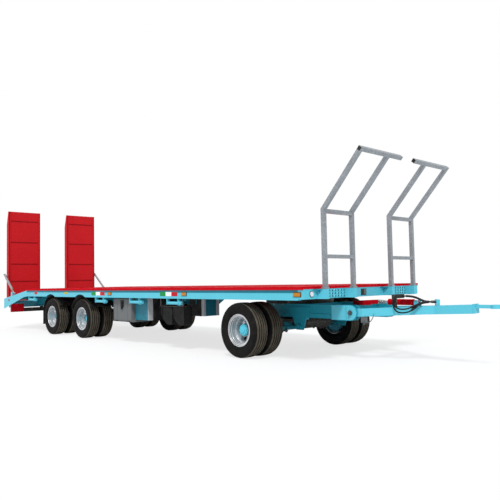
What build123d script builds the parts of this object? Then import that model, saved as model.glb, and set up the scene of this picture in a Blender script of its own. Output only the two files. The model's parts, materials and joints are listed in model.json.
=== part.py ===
# Platform trailer with a turntable steered front axle, a tandem rear bogie,
# two leaning bale ladders at the front and two standing loading ramps at the tail.
# Lengths are in mm. +X is forward, +Y is the trailer's left, +Z is up and the ground is Z = 0.
# Along X, pieces are placed from the deck's front face, and save() moves them by front_x.
import math
import os

from build123d import *

os.makedirs("parts", exist_ok=True)

# Deck and frame
deck_width = 2550
deck_top = 950
floor_thick = 6
lip_thick = 12
flat_length = 8310
tail_length = 1370
tail_floor_end = 715      # floor height at the tail's end
rail_top = 912
rail_bottom = 785
rail_wall = 8
rail_flange = 60
tail_rail_top = 720
tail_rail_bottom = 480
front_beam_deep = 90
front_beam_low = 797
front_beam_high = 940
beam_y = 450              # main beams' centre from the middle
beam_flange = 110
beam_low = 605            # deep part of the main beams
beam_front_low = 800      # shallow part over the turntable
beam_drop = 2030          # deep part starts ahead of the bogie's first axle
cross_pitch = 520
cross_first = 350
edge_inset = 125          # tail members' ends inside the deck's edge

# Running gear
tyre_radius = 372
tyre_width = 230
rim_seat = 204
rim_width = 165
dual_spacing = 280
wheel_inset = 25          # outer tyre's side wall inside the deck's edge
front_axle = 1208
rear_overhang = 1260      # last axle ahead of the flat deck's end
bogie_spacing = 1320
spring_gap = 100          # spring's end from the middle of the bogie
axle_square = 110
bogie_seat = 26.5         # spring seats above the axle beams
dolly_seat = 14.5
hand_holes = 5
ring_outer = 500
ring_inner = 430
ring_low = 700
ring_split = 740
arch_gap = 92             # rail arches over the bogie tyres
guard_gap = 65            # mudguards over the bogie tyres
guard_thick = 6

# Drawbar
hinge_x = 65
hinge_z = 600
hinge_pin = 18
arm_height = 100
nose_end = 1490
bar_tilt = 2.4
eye_x = 1735
eye_z = 690
eye_bore = 50
eye_radius = 55
eye_thick = 45
lift_pin = (755, 725)
lift_eye = (170, 728)

# Ladders
post_square = 50
post_x = 105
post_inset = 295
post_inner = 425
bend_z = 1885
ladder_top = 2530
ladder_lean = 575
top_bar_inner = 148

# Ramps
ramp_inner = 357
ramp_inset = 134
ramp_gap = 40             # standing ramp behind the tail's end
ramp_thick = 130
ramp_top = 2850
ramp_foot = 660
ramp_hinge_back = 135     # hinge pin behind the tail's end
ramp_hinge_z = 605
ramp_pin = 16
strut_inset = 75
strut_lug_back = 105
strut_lug_z = 1270
strut_foot_ahead = 480
strut_foot_z = 845

# Boxes under the right side
toolbox_long = 625
locker_long = 400
small_locker_long = 375
toolbox_inset = 95
toolbox_high = 770
locker_inset = 155
small_locker_deep = 300
swing_room = 1148         # front wheels' swing behind the front axle, where the boxes start

# Places that follow from the sizes
half = deck_width / 2
rail_y = half - lip_thick
tail_end = flat_length + tail_length
rear_axle = flat_length - rear_overhang
mid_axle = rear_axle - bogie_spacing
mount_y = half - wheel_inset - (dual_spacing + tyre_width) / 2
cross_count = int((flat_length - cross_first - 100) / cross_pitch) + 1
eye_tip = eye_x + eye_radius
ramp_front = tail_end + ramp_gap
ramp_back = ramp_front + ramp_thick
ramp_outer = half - ramp_inset
post_outer = half - post_inset
ramp_hinge_x = -tail_end - ramp_hinge_back
strut_y = half - strut_inset
strut_lug = (-tail_end - strut_lug_back, strut_lug_z)
strut_foot = (-tail_end + strut_foot_ahead, strut_foot_z)
tail_y = half - edge_inset
front_x = (ramp_back - eye_tip) / 2

# The boxes share the free length between the front wheels' swing and the bogie
bay_front = front_axle + swing_room
bay_free = mid_axle - tyre_radius - bay_front - toolbox_long - locker_long - small_locker_long
small_locker_x = bay_front + 0.0431 * bay_free
locker_x = small_locker_x + small_locker_long + 0.4838 * bay_free
toolbox_x = locker_x + locker_long + 0.0062 * bay_free


def block(x0, x1, y0, y1, z0, z1):
    return Pos((x0 + x1) / 2, (y0 + y1) / 2, (z0 + z1) / 2) * Box(abs(x1 - x0), abs(y1 - y0), abs(z1 - z0))


def side_plate(points, y0, y1):
    face = make_face(Polyline(*[(x, y0, z) for x, z in points], close=True))
    return extrude(face, amount=abs(y1 - y0), dir=(0, 1 if y1 > y0 else -1, 0))


def plan_plate(points, z0, z1):
    face = make_face(Polyline(*[(x, y, z0) for x, y in points], close=True))
    return extrude(face, amount=z1 - z0, dir=(0, 0, 1))


def end_plate(points, x0, x1):
    face = make_face(Polyline(*[(x0, y, z) for y, z in points], close=True))
    return extrude(face, amount=abs(x1 - x0), dir=(1 if x1 > x0 else -1, 0, 0))


def rod_y(x, z, radius, y0, y1):
    return Pos(x, (y0 + y1) / 2, z) * Rot(90, 0, 0) * Cylinder(radius, abs(y1 - y0))


def rod_z(x, y, radius, z0, z1):
    return Pos(x, y, (z0 + z1) / 2) * Cylinder(radius, z1 - z0)


def rod_x(y, z, radius, x0, x1):
    return Pos((x0 + x1) / 2, y, z) * Rot(0, 90, 0) * Cylinder(radius, abs(x1 - x0))


def other_side(shape):
    return mirror(shape, about=Plane.XZ)


def both_sides(shapes):
    return list(shapes) + [other_side(s) for s in shapes]


def save(name, shapes):
    solids = shapes if isinstance(shapes, list) else [shapes]
    moved = [Pos(front_x, 0, 0) * s for s in solids]
    shape = moved[0] if len(moved) == 1 else Compound(children=moved)
    export_step(shape, "parts/" + name + ".step")


def on_tail(x, start, end):
    return start + (end - start) * (-x - flat_length) / (tail_end - flat_length)


# Main beams: shallow over the turntable, deep behind it, sloping down under the tail
beam_tail_high = 650
beam_tail_low = 500
tail_beam_deep = 60
beam_end = -tail_end + tail_beam_deep
beam_upper = [(-front_beam_deep, rail_top), (-flat_length, rail_top),
              (beam_end, on_tail(beam_end, rail_top, beam_tail_high))]
drop_start = -mid_axle + beam_drop + 340
drop_end = -mid_axle + beam_drop
beam_lower = [(-front_beam_deep, beam_front_low), (drop_start, beam_front_low), (drop_end, beam_low),
              (-flat_length + 160, beam_low), (beam_end, beam_tail_low)]
web = side_plate(beam_upper + beam_lower[::-1], beam_y - 5, beam_y + 5)
top_flange = side_plate(beam_upper + [(x, z - 12) for x, z in beam_upper[::-1]],
                        beam_y - beam_flange / 2, beam_y + beam_flange / 2)
low_flange = side_plate(beam_lower + [(x, z + 12) for x, z in beam_lower[::-1]],
                        beam_y - beam_flange / 2, beam_y + beam_flange / 2)
main_beam = web + top_flange + low_flange
save("main_beams", both_sides([main_beam]))

# Cross members under the floor, and outriggers from the beams to the side rails
cross = []
for i in range(cross_count):
    x = -cross_first - i * cross_pitch
    cross.append(block(x - 30, x + 30, -rail_y, rail_y, rail_top, deck_top - floor_thick)
                 - block(x - 24, x + 24, -rail_y, rail_y, rail_top + 6, deck_top - floor_thick - 6))
for x in (-tail_end + 1120, -tail_end + 680, -tail_end + 240):
    ends = (x - 30, x + 30)
    upper = [(e, on_tail(e, deck_top, tail_floor_end) - 8) for e in ends]
    lower = [(e, on_tail(e, rail_top, beam_tail_high)) for e in ends[::-1]]
    cross.append(side_plate(upper + lower, -tail_y, tail_y))
gusset_table = (-front_axle + 528, -front_axle - 952, -locker_x + 0.25 * bay_free,
                -toolbox_x - toolbox_long - 0.07 * bay_free, -mid_axle + 440,
                -mid_axle - bogie_spacing / 2 + 60, -rear_axle - 850)
for x in gusset_table:
    low = beam_front_low + 25 if x > drop_start else beam_low + 20
    gusset = end_plate([(beam_y + 5, rail_top - 12), (rail_y - rail_wall, rail_top - 12),
                        (rail_y - rail_wall, rail_bottom + 8), (tail_y, rail_bottom + 8), (beam_y + 5, low)],
                       x - 5, x + 5)
    cross.extend(both_sides([gusset]))
save("cross_members", cross)

# Side rails: channels with arches over the bogie wheels, sloping down along the tail
rail_outline = [(-front_beam_deep, rail_top), (-flat_length, rail_top), (-tail_end, tail_rail_top),
                (-tail_end, tail_rail_bottom), (-flat_length - 170, rail_bottom - 20),
                (-flat_length + 60, rail_bottom), (-front_beam_deep, rail_bottom)]
rail = side_plate(rail_outline, rail_y - rail_wall, rail_y)
rail = rail + block(-flat_length, -front_beam_deep, rail_y - rail_flange, rail_y, rail_top - 8, rail_top)
rail = rail + block(-flat_length + 60, -front_beam_deep, rail_y - rail_flange, rail_y, rail_bottom, rail_bottom + 8)
for x in (-mid_axle, -rear_axle):
    rail = rail - rod_y(x, tyre_radius, tyre_radius + arch_gap, rail_y - rail_flange - 10, rail_y + 10)
foot = [(strut_foot[0] - 60, strut_foot_z - 145), (strut_foot[0] + 60, strut_foot_z - 145),
        (strut_foot[0] + 35, strut_foot_z + 40), (strut_foot[0] - 35, strut_foot_z + 40)]
rail = rail + side_plate(foot, rail_y - rail_wall, rail_y)
rail = rail + rod_y(strut_foot[0], strut_foot_z, 14, strut_y + 23, rail_y - 4)
save("side_rails", both_sides([rail]))

# Front beam with the four ladder sockets on its face
socket = post_square / 2 + 8
front_beam = (block(-front_beam_deep, 0, -rail_y, rail_y, front_beam_low, front_beam_high)
              - block(-front_beam_deep + 6, -6, -rail_y + 8, rail_y - 8, front_beam_low + 6, front_beam_high - 6))
for y in (-post_outer, -post_inner, post_inner, post_outer):
    cup = block(0, post_x + socket, y - socket, y + socket, front_beam_low, front_beam_high)
    hole = post_square / 2 + 0.05
    cup = cup - block(post_x - hole, post_x + hole, y - hole, y + hole, front_beam_low + 12, front_beam_high + 1)
    front_beam = front_beam + cup
save("front_beam", front_beam)

# Deck floor with turned down edges, and the sloping tail floor
floor = block(-flat_length, 0, -half, half, deck_top - floor_thick, deck_top)
for y in (-1, 1):
    floor = floor + block(-flat_length, 0, y * rail_y, y * half, rail_top, deck_top)
floor = floor + block(-lip_thick, 0, -half, half, front_beam_high, deck_top)
save("deck_floor", floor)
tail_line = [(-flat_length, deck_top), (-tail_end, tail_floor_end),
             (-tail_end, tail_floor_end - 8), (-flat_length, deck_top - 8)]
save("tail_floor", side_plate(tail_line, -tail_y - 15, tail_y + 15))

# Tail beam with hinge lugs and pins for the ramps
tail_beam = block(-tail_end, beam_end, -tail_y, tail_y, beam_tail_low, beam_tail_high + 10)
px, pz = ramp_hinge_x, ramp_hinge_z
lug_outline = [(-tail_end + 5, pz + 45), (px, pz + 35), (px - 23, pz + 26), (px - 35, pz), (px - 23, pz - 26),
               (px, pz - 35), (-tail_end + 5, pz - 65)]
ear_inner = ramp_inner + 70
ear_outer = ramp_outer - 70
for y in (-ear_outer, -ear_inner, ear_inner, ear_outer):
    for side in (-1, 1):
        tail_beam = tail_beam + side_plate(lug_outline, y + side * 26 - 6, y + side * 26 + 6)
    tail_beam = tail_beam + rod_y(ramp_hinge_x, ramp_hinge_z, ramp_pin, y - 32, y + 32)
save("tail_beam", tail_beam)

# Underrun bar on two hangers, and a lamp board at each end
bar_x = -tail_end + 260
bar_y = half - 375
underrun = block(bar_x - 30, bar_x + 30, -bar_y, bar_y, 400, 490)
underrun = underrun - block(bar_x - 24, bar_x + 24, -bar_y + 5, bar_y - 5, 406, 484)
slope_long = tail_end - tail_beam_deep - flat_length + 160
beam_over = beam_low + (beam_tail_low - beam_low) * (-bar_x - flat_length + 160) / slope_long
hang = block(bar_x - 10, bar_x + 10, beam_y - 40, beam_y + 40, 490, beam_over + 4) - main_beam
save("underrun_bar", underrun + hang + other_side(hang))
boards = [block(bar_x - 30, bar_x + 40, bar_y, bar_y + 300, 400, 590)]
save("rear_lamps", both_sides(boards))

# Ladders: bent square posts with two rungs and a top bar
lean = math.atan2(ladder_lean, ladder_top - bend_z)
h = post_square / 2
cut = h * math.tan(lean / 2)
tip = (post_x + ladder_lean, ladder_top)
across = (math.cos(lean) * h, -math.sin(lean) * h)
post_line = [(post_x - h, front_beam_low + 12), (post_x + h, front_beam_low + 12), (post_x + h, bend_z - cut),
             (tip[0] + across[0], tip[1] + across[1]), (tip[0] - across[0], tip[1] - across[1]),
             (post_x - h, bend_z + cut)]
k = h - 4
cut = k * math.tan(lean / 2)
bore_line = [(post_x - k, front_beam_low), (post_x + k, front_beam_low), (post_x + k, bend_z - cut),
             (tip[0] - 20 + across[0] * k / h, tip[1] - 20 + across[1] * k / h),
             (tip[0] - 20 - across[0] * k / h, tip[1] - 20 - across[1] * k / h), (post_x - k, bend_z + cut)]
ladder = side_plate(post_line, post_outer - h, post_outer + h) + side_plate(post_line, post_inner - h, post_inner + h)
ladder = ladder + block(post_x - 25, post_x + 25, post_inner, post_outer, 1290, 1335)
ladder = ladder + block(post_x - 25, post_x + 25, post_inner, post_outer, bend_z - 45, bend_z + 5)
top_bar = Pos(tip[0], (post_outer + h + top_bar_inner) / 2, tip[1]) * Rot(0, math.degrees(lean), 0) \
    * Box(post_square, post_outer + h - top_bar_inner, post_square)
top_bore = Pos(tip[0], top_bar_inner + 60, tip[1]) * Rot(0, math.degrees(lean), 0) \
    * Box(post_square - 8, 120, post_square - 8)
ladder = ladder + top_bar - top_bore - side_plate(bore_line, post_outer - k, post_outer + k)
ladder = ladder - side_plate(bore_line, post_inner - k, post_inner + k)
save("ladders", both_sides([ladder]))

# Turntable: upper ring with its plate under the frame, lower ring on the dolly
upper = block(-front_axle - ring_outer, -front_axle + ring_outer, -beam_y - 55, beam_y + 55, rail_bottom, beam_front_low)
upper = upper + (rod_z(-front_axle, 0, ring_outer, ring_split + 0.5, rail_bottom)
                 - rod_z(-front_axle, 0, ring_inner, ring_split, rail_bottom))
save("turntable_upper", upper)
lower = rod_z(-front_axle, 0, ring_outer, ring_low, ring_split)
save("turntable_lower", lower - rod_z(-front_axle, 0, ring_inner, ring_low, ring_split))

# Toolbox on two straps, two lockers, wheel chocks
box_out = -half + toolbox_inset
box_in = -beam_y - 310
box_back = -toolbox_x - toolbox_long
toolbox = block(box_back, -toolbox_x, box_out + 10, box_in, 367, toolbox_high)
toolbox = toolbox + block(box_back + 10, -toolbox_x - 10, box_out, box_out + 10, 380, toolbox_high - 10)
toolbox = toolbox - block(box_back + 8, -toolbox_x - 8, box_out + 18, box_in - 8, 375, toolbox_high - 8)
save("toolbox", toolbox)
lockers = []
locker_table = ((-locker_x - locker_long, -locker_x, -half + locker_inset, -beam_y - 150, 410),
                (-small_locker_x - small_locker_long, -small_locker_x, -beam_y - 100 - small_locker_deep,
                 -beam_y - 100, 500))
for x0, x1, y0, y1, z0 in locker_table:
    shell = block(x0, x1, y0, y1, z0, rail_top)
    lockers.append(shell - block(x0 + 4, x1 - 4, y0 + 4, y1 - 4, z0 + 4, rail_top - 4))
save("lockers", lockers)
chock_out = -half + 45
chock_top = 662
chock_back = -locker_x + 10 + 0.334 * bay_free
chock = [(0, 0), (285, 0), (285, -262), (265, -282), (160, -282), (60, -215), (0, -120)]
chocks = []
for x in (chock_back, chock_back + 310):
    chocks.append(side_plate([(x + u, chock_top + v) for u, v in chock], chock_out, chock_out + 150))
save("wheel_chocks", chocks)

# Strap winches under both rails, the chock carrier and the toolbox straps
winch_table = ((chock_back + 340, 300), (-locker_x - 210, 300), (-mid_axle + 750, 300),
               (-flat_length + 250, 300))
fittings = []
for x, length in winch_table:
    w = block(x - length / 2, x - length / 2 + 8, rail_y - 60, rail_y, 690, rail_bottom)
    w = w + block(x + length / 2 - 8, x + length / 2, rail_y - 60, rail_y, 690, rail_bottom)
    w = w + rod_x(rail_y - 30, 715, 24, x - length / 2, x + length / 2 + 18)
    w = w + rod_x(rail_y - 30, 715, 40, x + length / 2 + 6, x + length / 2 + 22)
    w = w + rod_x(rail_y - 30, 715, 28, x + length / 2 + 22, x + length / 2 + 70)
    fittings.extend(both_sides([w]))
carrier = block(chock_back - 10, chock_back + 600, chock_out - 10, chock_out + 160, chock_top, chock_top + 6)
for x in (chock_back, chock_back + 590):
    carrier = carrier + block(x - 10, x + 10, chock_out - 10, chock_out, chock_top, rail_bottom)
fittings.append(carrier)
strap_y = (box_out + box_in) / 2
for x in (box_back + 100, -toolbox_x - 17):
    fittings.append(block(x - 15, x + 15, strap_y - 4, strap_y + 4, toolbox_high, rail_top))
save("rail_fittings", fittings)

# Rear bogie: hangers, leaf springs, axles
hangers = []
spring_reach = bogie_spacing / 2 - spring_gap
hanger_table = ((-mid_axle + spring_reach, 75), (-mid_axle - bogie_spacing / 2, spring_gap + 90),
                (-rear_axle - spring_reach, 75))
for x, wide in hanger_table:
    hang = block(x - wide, x + wide, beam_y - 65, beam_y + 65, 590, beam_low)
    for y in (beam_y - 65, beam_y + 53):
        cheek = [(x - wide, 600), (x + wide, 600), (x + wide - 20, 465), (x - wide + 20, 465)]
        hang = hang + side_plate(cheek, y, y + 12)
    hang = hang + block(x - wide + 10, x + wide - 10, beam_y - 53, beam_y + 53, 550, 595)
    hangers.append(hang)
save("bogie_hangers", both_sides(hangers))


def leaf_pack(x, reach, low, thick, end_rise):
    tips = [(x + reach, low + thick - 14 + end_rise), (x + reach, low + thick + end_rise), (x, low + thick)]
    tips = tips + [(x - reach, low + thick + end_rise), (x - reach, low + thick - 14 + end_rise)]
    return tips + [(x - 90, low), (x + 90, low)]


axle_top = tyre_radius + axle_square / 2
springs = []
for x in (-mid_axle, -rear_axle):
    springs.append(side_plate(leaf_pack(x, spring_reach, axle_top + bogie_seat, 66, 30.5), beam_y - 45, beam_y + 45))
save("bogie_springs", both_sides(springs))


def axle(x, seat_y, seat_high):
    a = tyre_radius
    end = mount_y - 192
    wide = axle_square / 2
    beam = block(x - wide, x + wide, -end + 20, end - 20, a - wide, a + wide)
    for side in (-1, 1):
        beam = beam + rod_y(x, a, rim_seat - 52, side * (end - 8), side * end)
        beam = beam + rod_y(x, a, 62, side * (end - 40), side * (end + 2))
        beam = beam + rod_y(x, a, 40, side * (end - 40), side * (mount_y + 40))
        beam = beam + block(x - 90, x + 90, side * seat_y - 45, side * seat_y + 45, a, axle_top + seat_high)
    return beam


save("rear_axles", [axle(-mid_axle, beam_y, bogie_seat), axle(-rear_axle, beam_y, bogie_seat)])

# Mudguards: a curved guard over each bogie wheel pair and a flap behind the last
guards = []
guard_in = mount_y - (dual_spacing + tyre_width) / 2 - 10
guard_out = half - 30
for x, first, last in ((-mid_axle, 32, 148), (-rear_axle, 32, 165)):
    arcs = []
    for radius in (tyre_radius + guard_gap + guard_thick, tyre_radius + guard_gap):
        bends = [math.radians(a) for a in (first, (first + last) / 2, last)]
        arcs.append([(x + radius * math.cos(a), guard_in, tyre_radius + radius * math.sin(a)) for a in bends])
    p, r = arcs
    stay_x = -cross_first - cross_pitch * round((-x - cross_first) / cross_pitch)
    stay_z = tyre_radius + math.sqrt((tyre_radius + guard_gap + 3) ** 2 - (stay_x - x) ** 2)
    edge = ThreePointArc(p[0], p[1], p[2]) + Line(p[2], r[2]) + ThreePointArc(r[2], r[1], r[0]) + Line(r[0], p[0])
    guard = extrude(make_face(edge), amount=guard_out - guard_in, dir=(0, 1, 0))
    if x == -rear_axle:
        guard = guard + block(r[2][0] - 8, r[2][0], guard_in + 10, guard_out - 10, 200, r[2][2] + 12)
    guard = guard + block(stay_x - 15, stay_x + 15, mount_y - 42, mount_y + 18, stay_z, rail_top)
    guards.append(guard)
save("mudguards", both_sides(guards))

# Dolly frame: side members, cross members, hinge cheeks with their pins
dolly = block(-1850, -30, 375, 450, 515, ring_low) - block(-1851, -260, 370, 440, 527, ring_low - 12)
cheek = [(-250, 500), (65, 500), (100, 506.5), (136, 529), (158, 563), (165, 600), (158, 637), (136, 671),
         (100, 693.5), (65, 700), (-250, 700)]
dolly = dolly + side_plate(cheek, 438, 452) + side_plate(cheek, 358, 372)
dolly = dolly + rod_y(hinge_x, hinge_z, hinge_pin, 350, 466) + rod_y(hinge_x, hinge_z, 34, 452, 462)
dolly = dolly + other_side(dolly)
dolly_cross = ((-200, -80, 530, 680), (-800, -700, 560, ring_low), (-1710, -1610, 560, ring_low),
               (-1850, -1780, 530, 680))
for x0, x1, z0, z1 in dolly_cross:
    dolly = dolly + (block(x0, x1, -440, 440, z0, z1) - block(x0 + 8, x1 - 8, -436, 436, z0 + 8, z1 - 8))
save("dolly_frame", dolly)
hang_front = side_plate([(-990, 660), (-620, 660), (-735, 345), (-865, 345)], 450, 462)
hang_front = hang_front + block(-850, -690, 385, 462, 488, 515)
hang_front = hang_front + rod_y(-800, 385, 34, 462, 496) + rod_x(479, 385, 16, -front_axle + axle_square / 2, -800)
hang_rear = side_plate([(-1800, 660), (-1560, 660), (-1610, 440), (-1740, 440)], 450, 462)
hang_rear = hang_rear + block(-1730, -1590, 385, 462, 488, 515)
save("dolly_hangers", both_sides([hang_front, hang_rear]))
dolly_spring = side_plate(leaf_pack(-front_axle, 470, axle_top + dolly_seat, 40, 6.5), 380, 446)
save("dolly_springs", both_sides([dolly_spring]))
save("front_axle", axle(-front_axle, 413, dolly_seat))

# Drawbar: an A frame from the two hinge eyes to a box nose, tilted a little upwards
arm_plan = [(hinge_x, 381), (hinge_x, 429), (230, 429), (1010, 60), (930, 20), (215, 381)]
arm = plan_plate(arm_plan, hinge_z - arm_height / 2, hinge_z + arm_height / 2)
arm = arm + rod_y(hinge_x, hinge_z, 50, 381, 429)
bar = arm + other_side(arm) + block(905, nose_end, -60, 60, hinge_z - 52, hinge_z + 52)
bar = bar + block(360, 430, -330, 330, hinge_z - 48, hinge_z + 8) + block(720, 800, -160, 160, hinge_z - 35, hinge_z + 45)
for y in (-36, 24):
    bar = bar + side_plate([(725, 640), (795, 640), (788, 715), (760, 728), (732, 715)], y, y + 12)
bar = bar - rod_y(hinge_x, hinge_z, hinge_pin + 0.05, -500, 500)
bar = Pos(hinge_x, 0, hinge_z) * Rot(0, -bar_tilt, 0) * Pos(-hinge_x, 0, -hinge_z) * bar
bar = bar + rod_y(lift_pin[0], lift_pin[1], 12, -36, 36)
save("drawbar_frame", bar)
nose_z = hinge_z + (nose_end - hinge_x) * math.sin(math.radians(bar_tilt))
nose_x = hinge_x + (nose_end - hinge_x) * math.cos(math.radians(bar_tilt))
eye = rod_z(eye_x, 0, eye_radius, eye_z - eye_thick / 2, eye_z + eye_thick / 2)
eye = eye + block(nose_x + 22, eye_x, -28, 28, eye_z - 20, eye_z + 20)
nose_plate = block(nose_end - hinge_x, nose_end - hinge_x + 25, -55, 55, -48, 60)
eye = eye + Pos(hinge_x, 0, hinge_z) * Rot(0, -bar_tilt, 0) * nose_plate
eye = eye - rod_z(eye_x, 0, eye_bore / 2, eye_z - 40, eye_z + 40)
save("towing_eye", eye)

# Hose stand on the right arm, hoses to a parking block on the nose
stand = block(578, 602, -245, -215, 640, 800) + block(582, 598, -300, -40, 780, 830)
stand = stand + rod_x(-70, 805, 14, 598, 612)
for y in (-262, -286):
    stand = stand + rod_z(590, y, 11, 766, 780)
stand = stand - bar
save("hose_stand", stand)
park_turn = math.degrees(math.atan2(0.6, 0.8))
park = Pos(1006, 32, 700) * Rot(0, 0, park_turn) * Box(40, 150, 130) - bar
plug_table = ((926, 22), (950, -10), (974, -42))
plugs = [Pos(x + 20, y + 15, 735) * Rot(0, 0, park_turn) * Rot(0, 90, 0) * Cylinder(15, 50) for x, y in plug_table]
save("hose_park", park)
save("hose_plugs", plugs)
hose_size = 18
hose_table = {
    "hose_upper": [(612, -70, 805), (690, -70, 805), (765, -54, 790), (825, -30, 758), (878, -14, 735), (926, 22, 735)],
    "hose_loop_long": [(590, -286, 766), (590, -286, 705), (612, -296, 650), (664, -306, 617), (735, -300, 608),
                       (797, -262, 622), (836, -205, 665), (858, -120, 722), (906, -43, 735), (950, -10, 735)],
    "hose_loop_short": [(590, -262, 766), (590, -262, 718), (612, -272, 680), (660, -284, 657), (722, -282, 650),
                        (782, -255, 660), (836, -214, 690), (886, -150, 720), (926, -78, 735), (974, -42, 735)],
}


def unit(a, b):
    d = [q - p for p, q in zip(a, b)]
    n = math.sqrt(sum(v * v for v in d))
    return [v / n for v in d], n


for name, points in hose_table.items():
    radii = []
    for i in range(1, len(points) - 1):
        d0, n0 = unit(points[i - 1], points[i])
        d1, n1 = unit(points[i], points[i + 1])
        turn = math.acos(max(-1, min(1, sum(p * q for p, q in zip(d0, d1)))))
        radii.append(round(0.45 * min(n0, n1) / math.tan(turn / 2), 2))
    path = FilletPolyline(*points, radius=radii)
    d0, n0 = unit(points[0], points[1])
    save(name, sweep(Plane(origin=points[0], z_dir=d0) * Circle(hose_size / 2), path=path))
    print(name, "radii", radii)

# Drawbar support cylinder: red bracket on the dolly, barrel on the drawbar, rod between
bracket = block(-200, 40, -26, 26, 680, 725)
for y in (-38, 26):
    cheek = [(-200, 680), (-80, 680), (190, 704), (198, 728), (182, 750), (150, 753), (-200, 735)]
    bracket = bracket + side_plate(cheek, y, y + 12)
save("lift_bracket", bracket)
lift_angle = math.degrees(math.atan2(lift_eye[1] - lift_pin[1], lift_eye[0] - lift_pin[0]))
lift_long = math.hypot(lift_eye[0] - lift_pin[0], lift_eye[1] - lift_pin[1])
lift_place = Pos(lift_pin[0], 0, lift_pin[1]) * Rot(0, -lift_angle, 0)
barrel = rod_x(0, 0, 40, 50, 410) + rod_y(0, 0, 24, -20, 20) + block(0, 55, -20, 20, -18, 18)
barrel = barrel - rod_y(0, 0, 12.05, -25, 25) - rod_x(0, 0, 18.3, 70, 411)
save("lift_barrel", lift_place * barrel)
save("lift_rod", lift_place * (rod_x(0, 0, 18, 150, lift_long) + rod_y(lift_long, 0, 26, -18, 18)))

# Ramps: side members, panel, cross bars, hinge ears and the strut's trunnion pin
ramp_side = [(-ramp_front, ramp_foot), (-ramp_front, ramp_top), (-ramp_front - 40, ramp_top),
             (-ramp_back, ramp_top - 315), (-ramp_back, ramp_foot)]
pocket = [(-ramp_front - 8, ramp_foot + 60), (-ramp_front - 8, ramp_top - 80),
          (-ramp_back + 8, ramp_top - 325), (-ramp_back + 8, ramp_foot + 60)]
ramp = side_plate(ramp_side, ramp_inner, ramp_inner + 45) + side_plate(ramp_side, ramp_outer - 45, ramp_outer)
ramp = ramp - side_plate(pocket, ramp_inner + 8, ramp_outer - 8)
ramp = ramp + block(-ramp_front - 18, -ramp_front - 10, ramp_inner, ramp_outer, ramp_foot, ramp_top)
ramp = ramp + block(-ramp_back + 6, -ramp_front - 12, ramp_inner + 20, ramp_outer - 20, ramp_foot, ramp_foot + 60)
for z in (ramp_foot + 430, ramp_foot + 870, ramp_top - 790, ramp_top - 330):
    ramp = ramp + block(-ramp_back + 6, -ramp_front - 12, ramp_inner + 4, ramp_outer - 4, z - 8, z + 8)
ear = [(px - 30, ramp_foot + 40), (px - 30, pz), (px - 21, pz - 21), (px, pz - 30), (px + 21, pz - 21),
       (px + 30, pz), (px + 30, ramp_foot + 40)]
for y in (ear_inner, ear_outer):
    ramp = ramp + side_plate(ear, y - 14, y + 14)
ramp = ramp - rod_y(px, pz, ramp_pin + 0.05, 0, half)
ramp = ramp + rod_y(strut_lug[0], strut_lug_z, 15, ramp_outer - 10, strut_y - 30)
save("ramp_left", ramp)
save("ramp_right", other_side(ramp))
strut_long = math.hypot(strut_foot[0] - strut_lug[0], strut_foot[1] - strut_lug[1])
strut_angle = math.degrees(math.atan2(strut_foot[1] - strut_lug[1], strut_foot[0] - strut_lug[0]))
strut_place = Pos(strut_lug[0], strut_y, strut_lug[1]) * Rot(0, -strut_angle, 0)
barrel = rod_x(0, 0, 25, -60, 590) + rod_y(0, 0, 28, -53, -10)
barrel = barrel - rod_x(0, 0, 15.3, -52, 591) - rod_y(0, 0, 15.05, -54, -28)
rod = rod_x(0, 0, 15, -48, strut_long - 10) + rod_y(strut_long, 0, 28, -15, 15)
rod = rod - rod_y(strut_long, 0, 14.5, -16, 16)
for name, place in (("left", None), ("right", 1)):
    b = strut_place * barrel
    r = strut_place * rod
    save("strut_barrel_" + name, other_side(b) if place else b)
    save("strut_rod_" + name, other_side(r) if place else r)

# Twin wheels, drawn with the mounting plane at Y = 0 and the outer wheel towards +Y
w = tyre_width / 2
b = rim_width / 2
bead = rim_seat + 14
tread_edge = (tyre_radius - 3, w - 33.5)
shoulder = (tyre_radius - 11.5, w - 14.5)
wall_top = (tyre_radius - 33.5, w - 5.5)
tyre_side = [(bead, b), (rim_seat + 40, w - 9.5), (rim_seat + 83, w), wall_top]


def low(point):
    return (point[0], -point[1])


tyre_edge = (Line((rim_seat, -b), (bead, -b)) + Spline(*[low(q) for q in tyre_side])
             + ThreePointArc(low(wall_top), low(shoulder), low(tread_edge))
             + ThreePointArc(low(tread_edge), (tyre_radius, 0), tread_edge)
             + ThreePointArc(tread_edge, shoulder, wall_top) + Spline(*tyre_side[::-1])
             + Line((bead, b), (rim_seat, b)) + Line((rim_seat, b), (rim_seat, -b)))
inside = [(rim_seat - 1, b - 16), (rim_seat + 28, b - 10), (rim_seat + 78, w - 11.5),
          (tyre_radius - 38.5, w - 17.5), (tyre_radius - 19.5, w - 35.5)]
cavity = [low(q) for q in inside] + inside[::-1]
tyre = revolve(make_face(tyre_edge), Axis.Y, 360) - revolve(make_face(Polyline(*cavity, close=True)), Axis.Y, 360)
c = dual_spacing / 2
seat_out = c + b + 0.2
seat_in = c - b - 0.2
s = rim_seat
rim_points = [(88, 0), (88, 12), (s - 72, 12), (s - 46, 40), (s - 26, c - 22.5), (s - 17, c - 14.5),
              (s - 14, seat_out), (s + 4, seat_out), (s + 4, seat_out + 10.3), (s + 14, seat_out + 10.3),
              (s + 14, seat_out), (s, seat_out), (s, seat_in), (s + 14, seat_in), (s + 14, seat_in - 10.3),
              (s - 10, seat_in - 10.3), (s - 17, seat_in - 4), (s - 36, 30), (s - 64, 0)]
rim = revolve(make_face(Polyline(*[(r, y) for r, y in rim_points], close=True)), Axis.Y, 360)
for i in range(hand_holes):
    a = math.radians(90 + i * 360 / hand_holes)
    rim = rim - rod_y((s - 50) * math.cos(a), (s - 50) * math.sin(a), 23, -20, 140)
rim = rim + mirror(rim, about=Plane.XZ)
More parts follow.
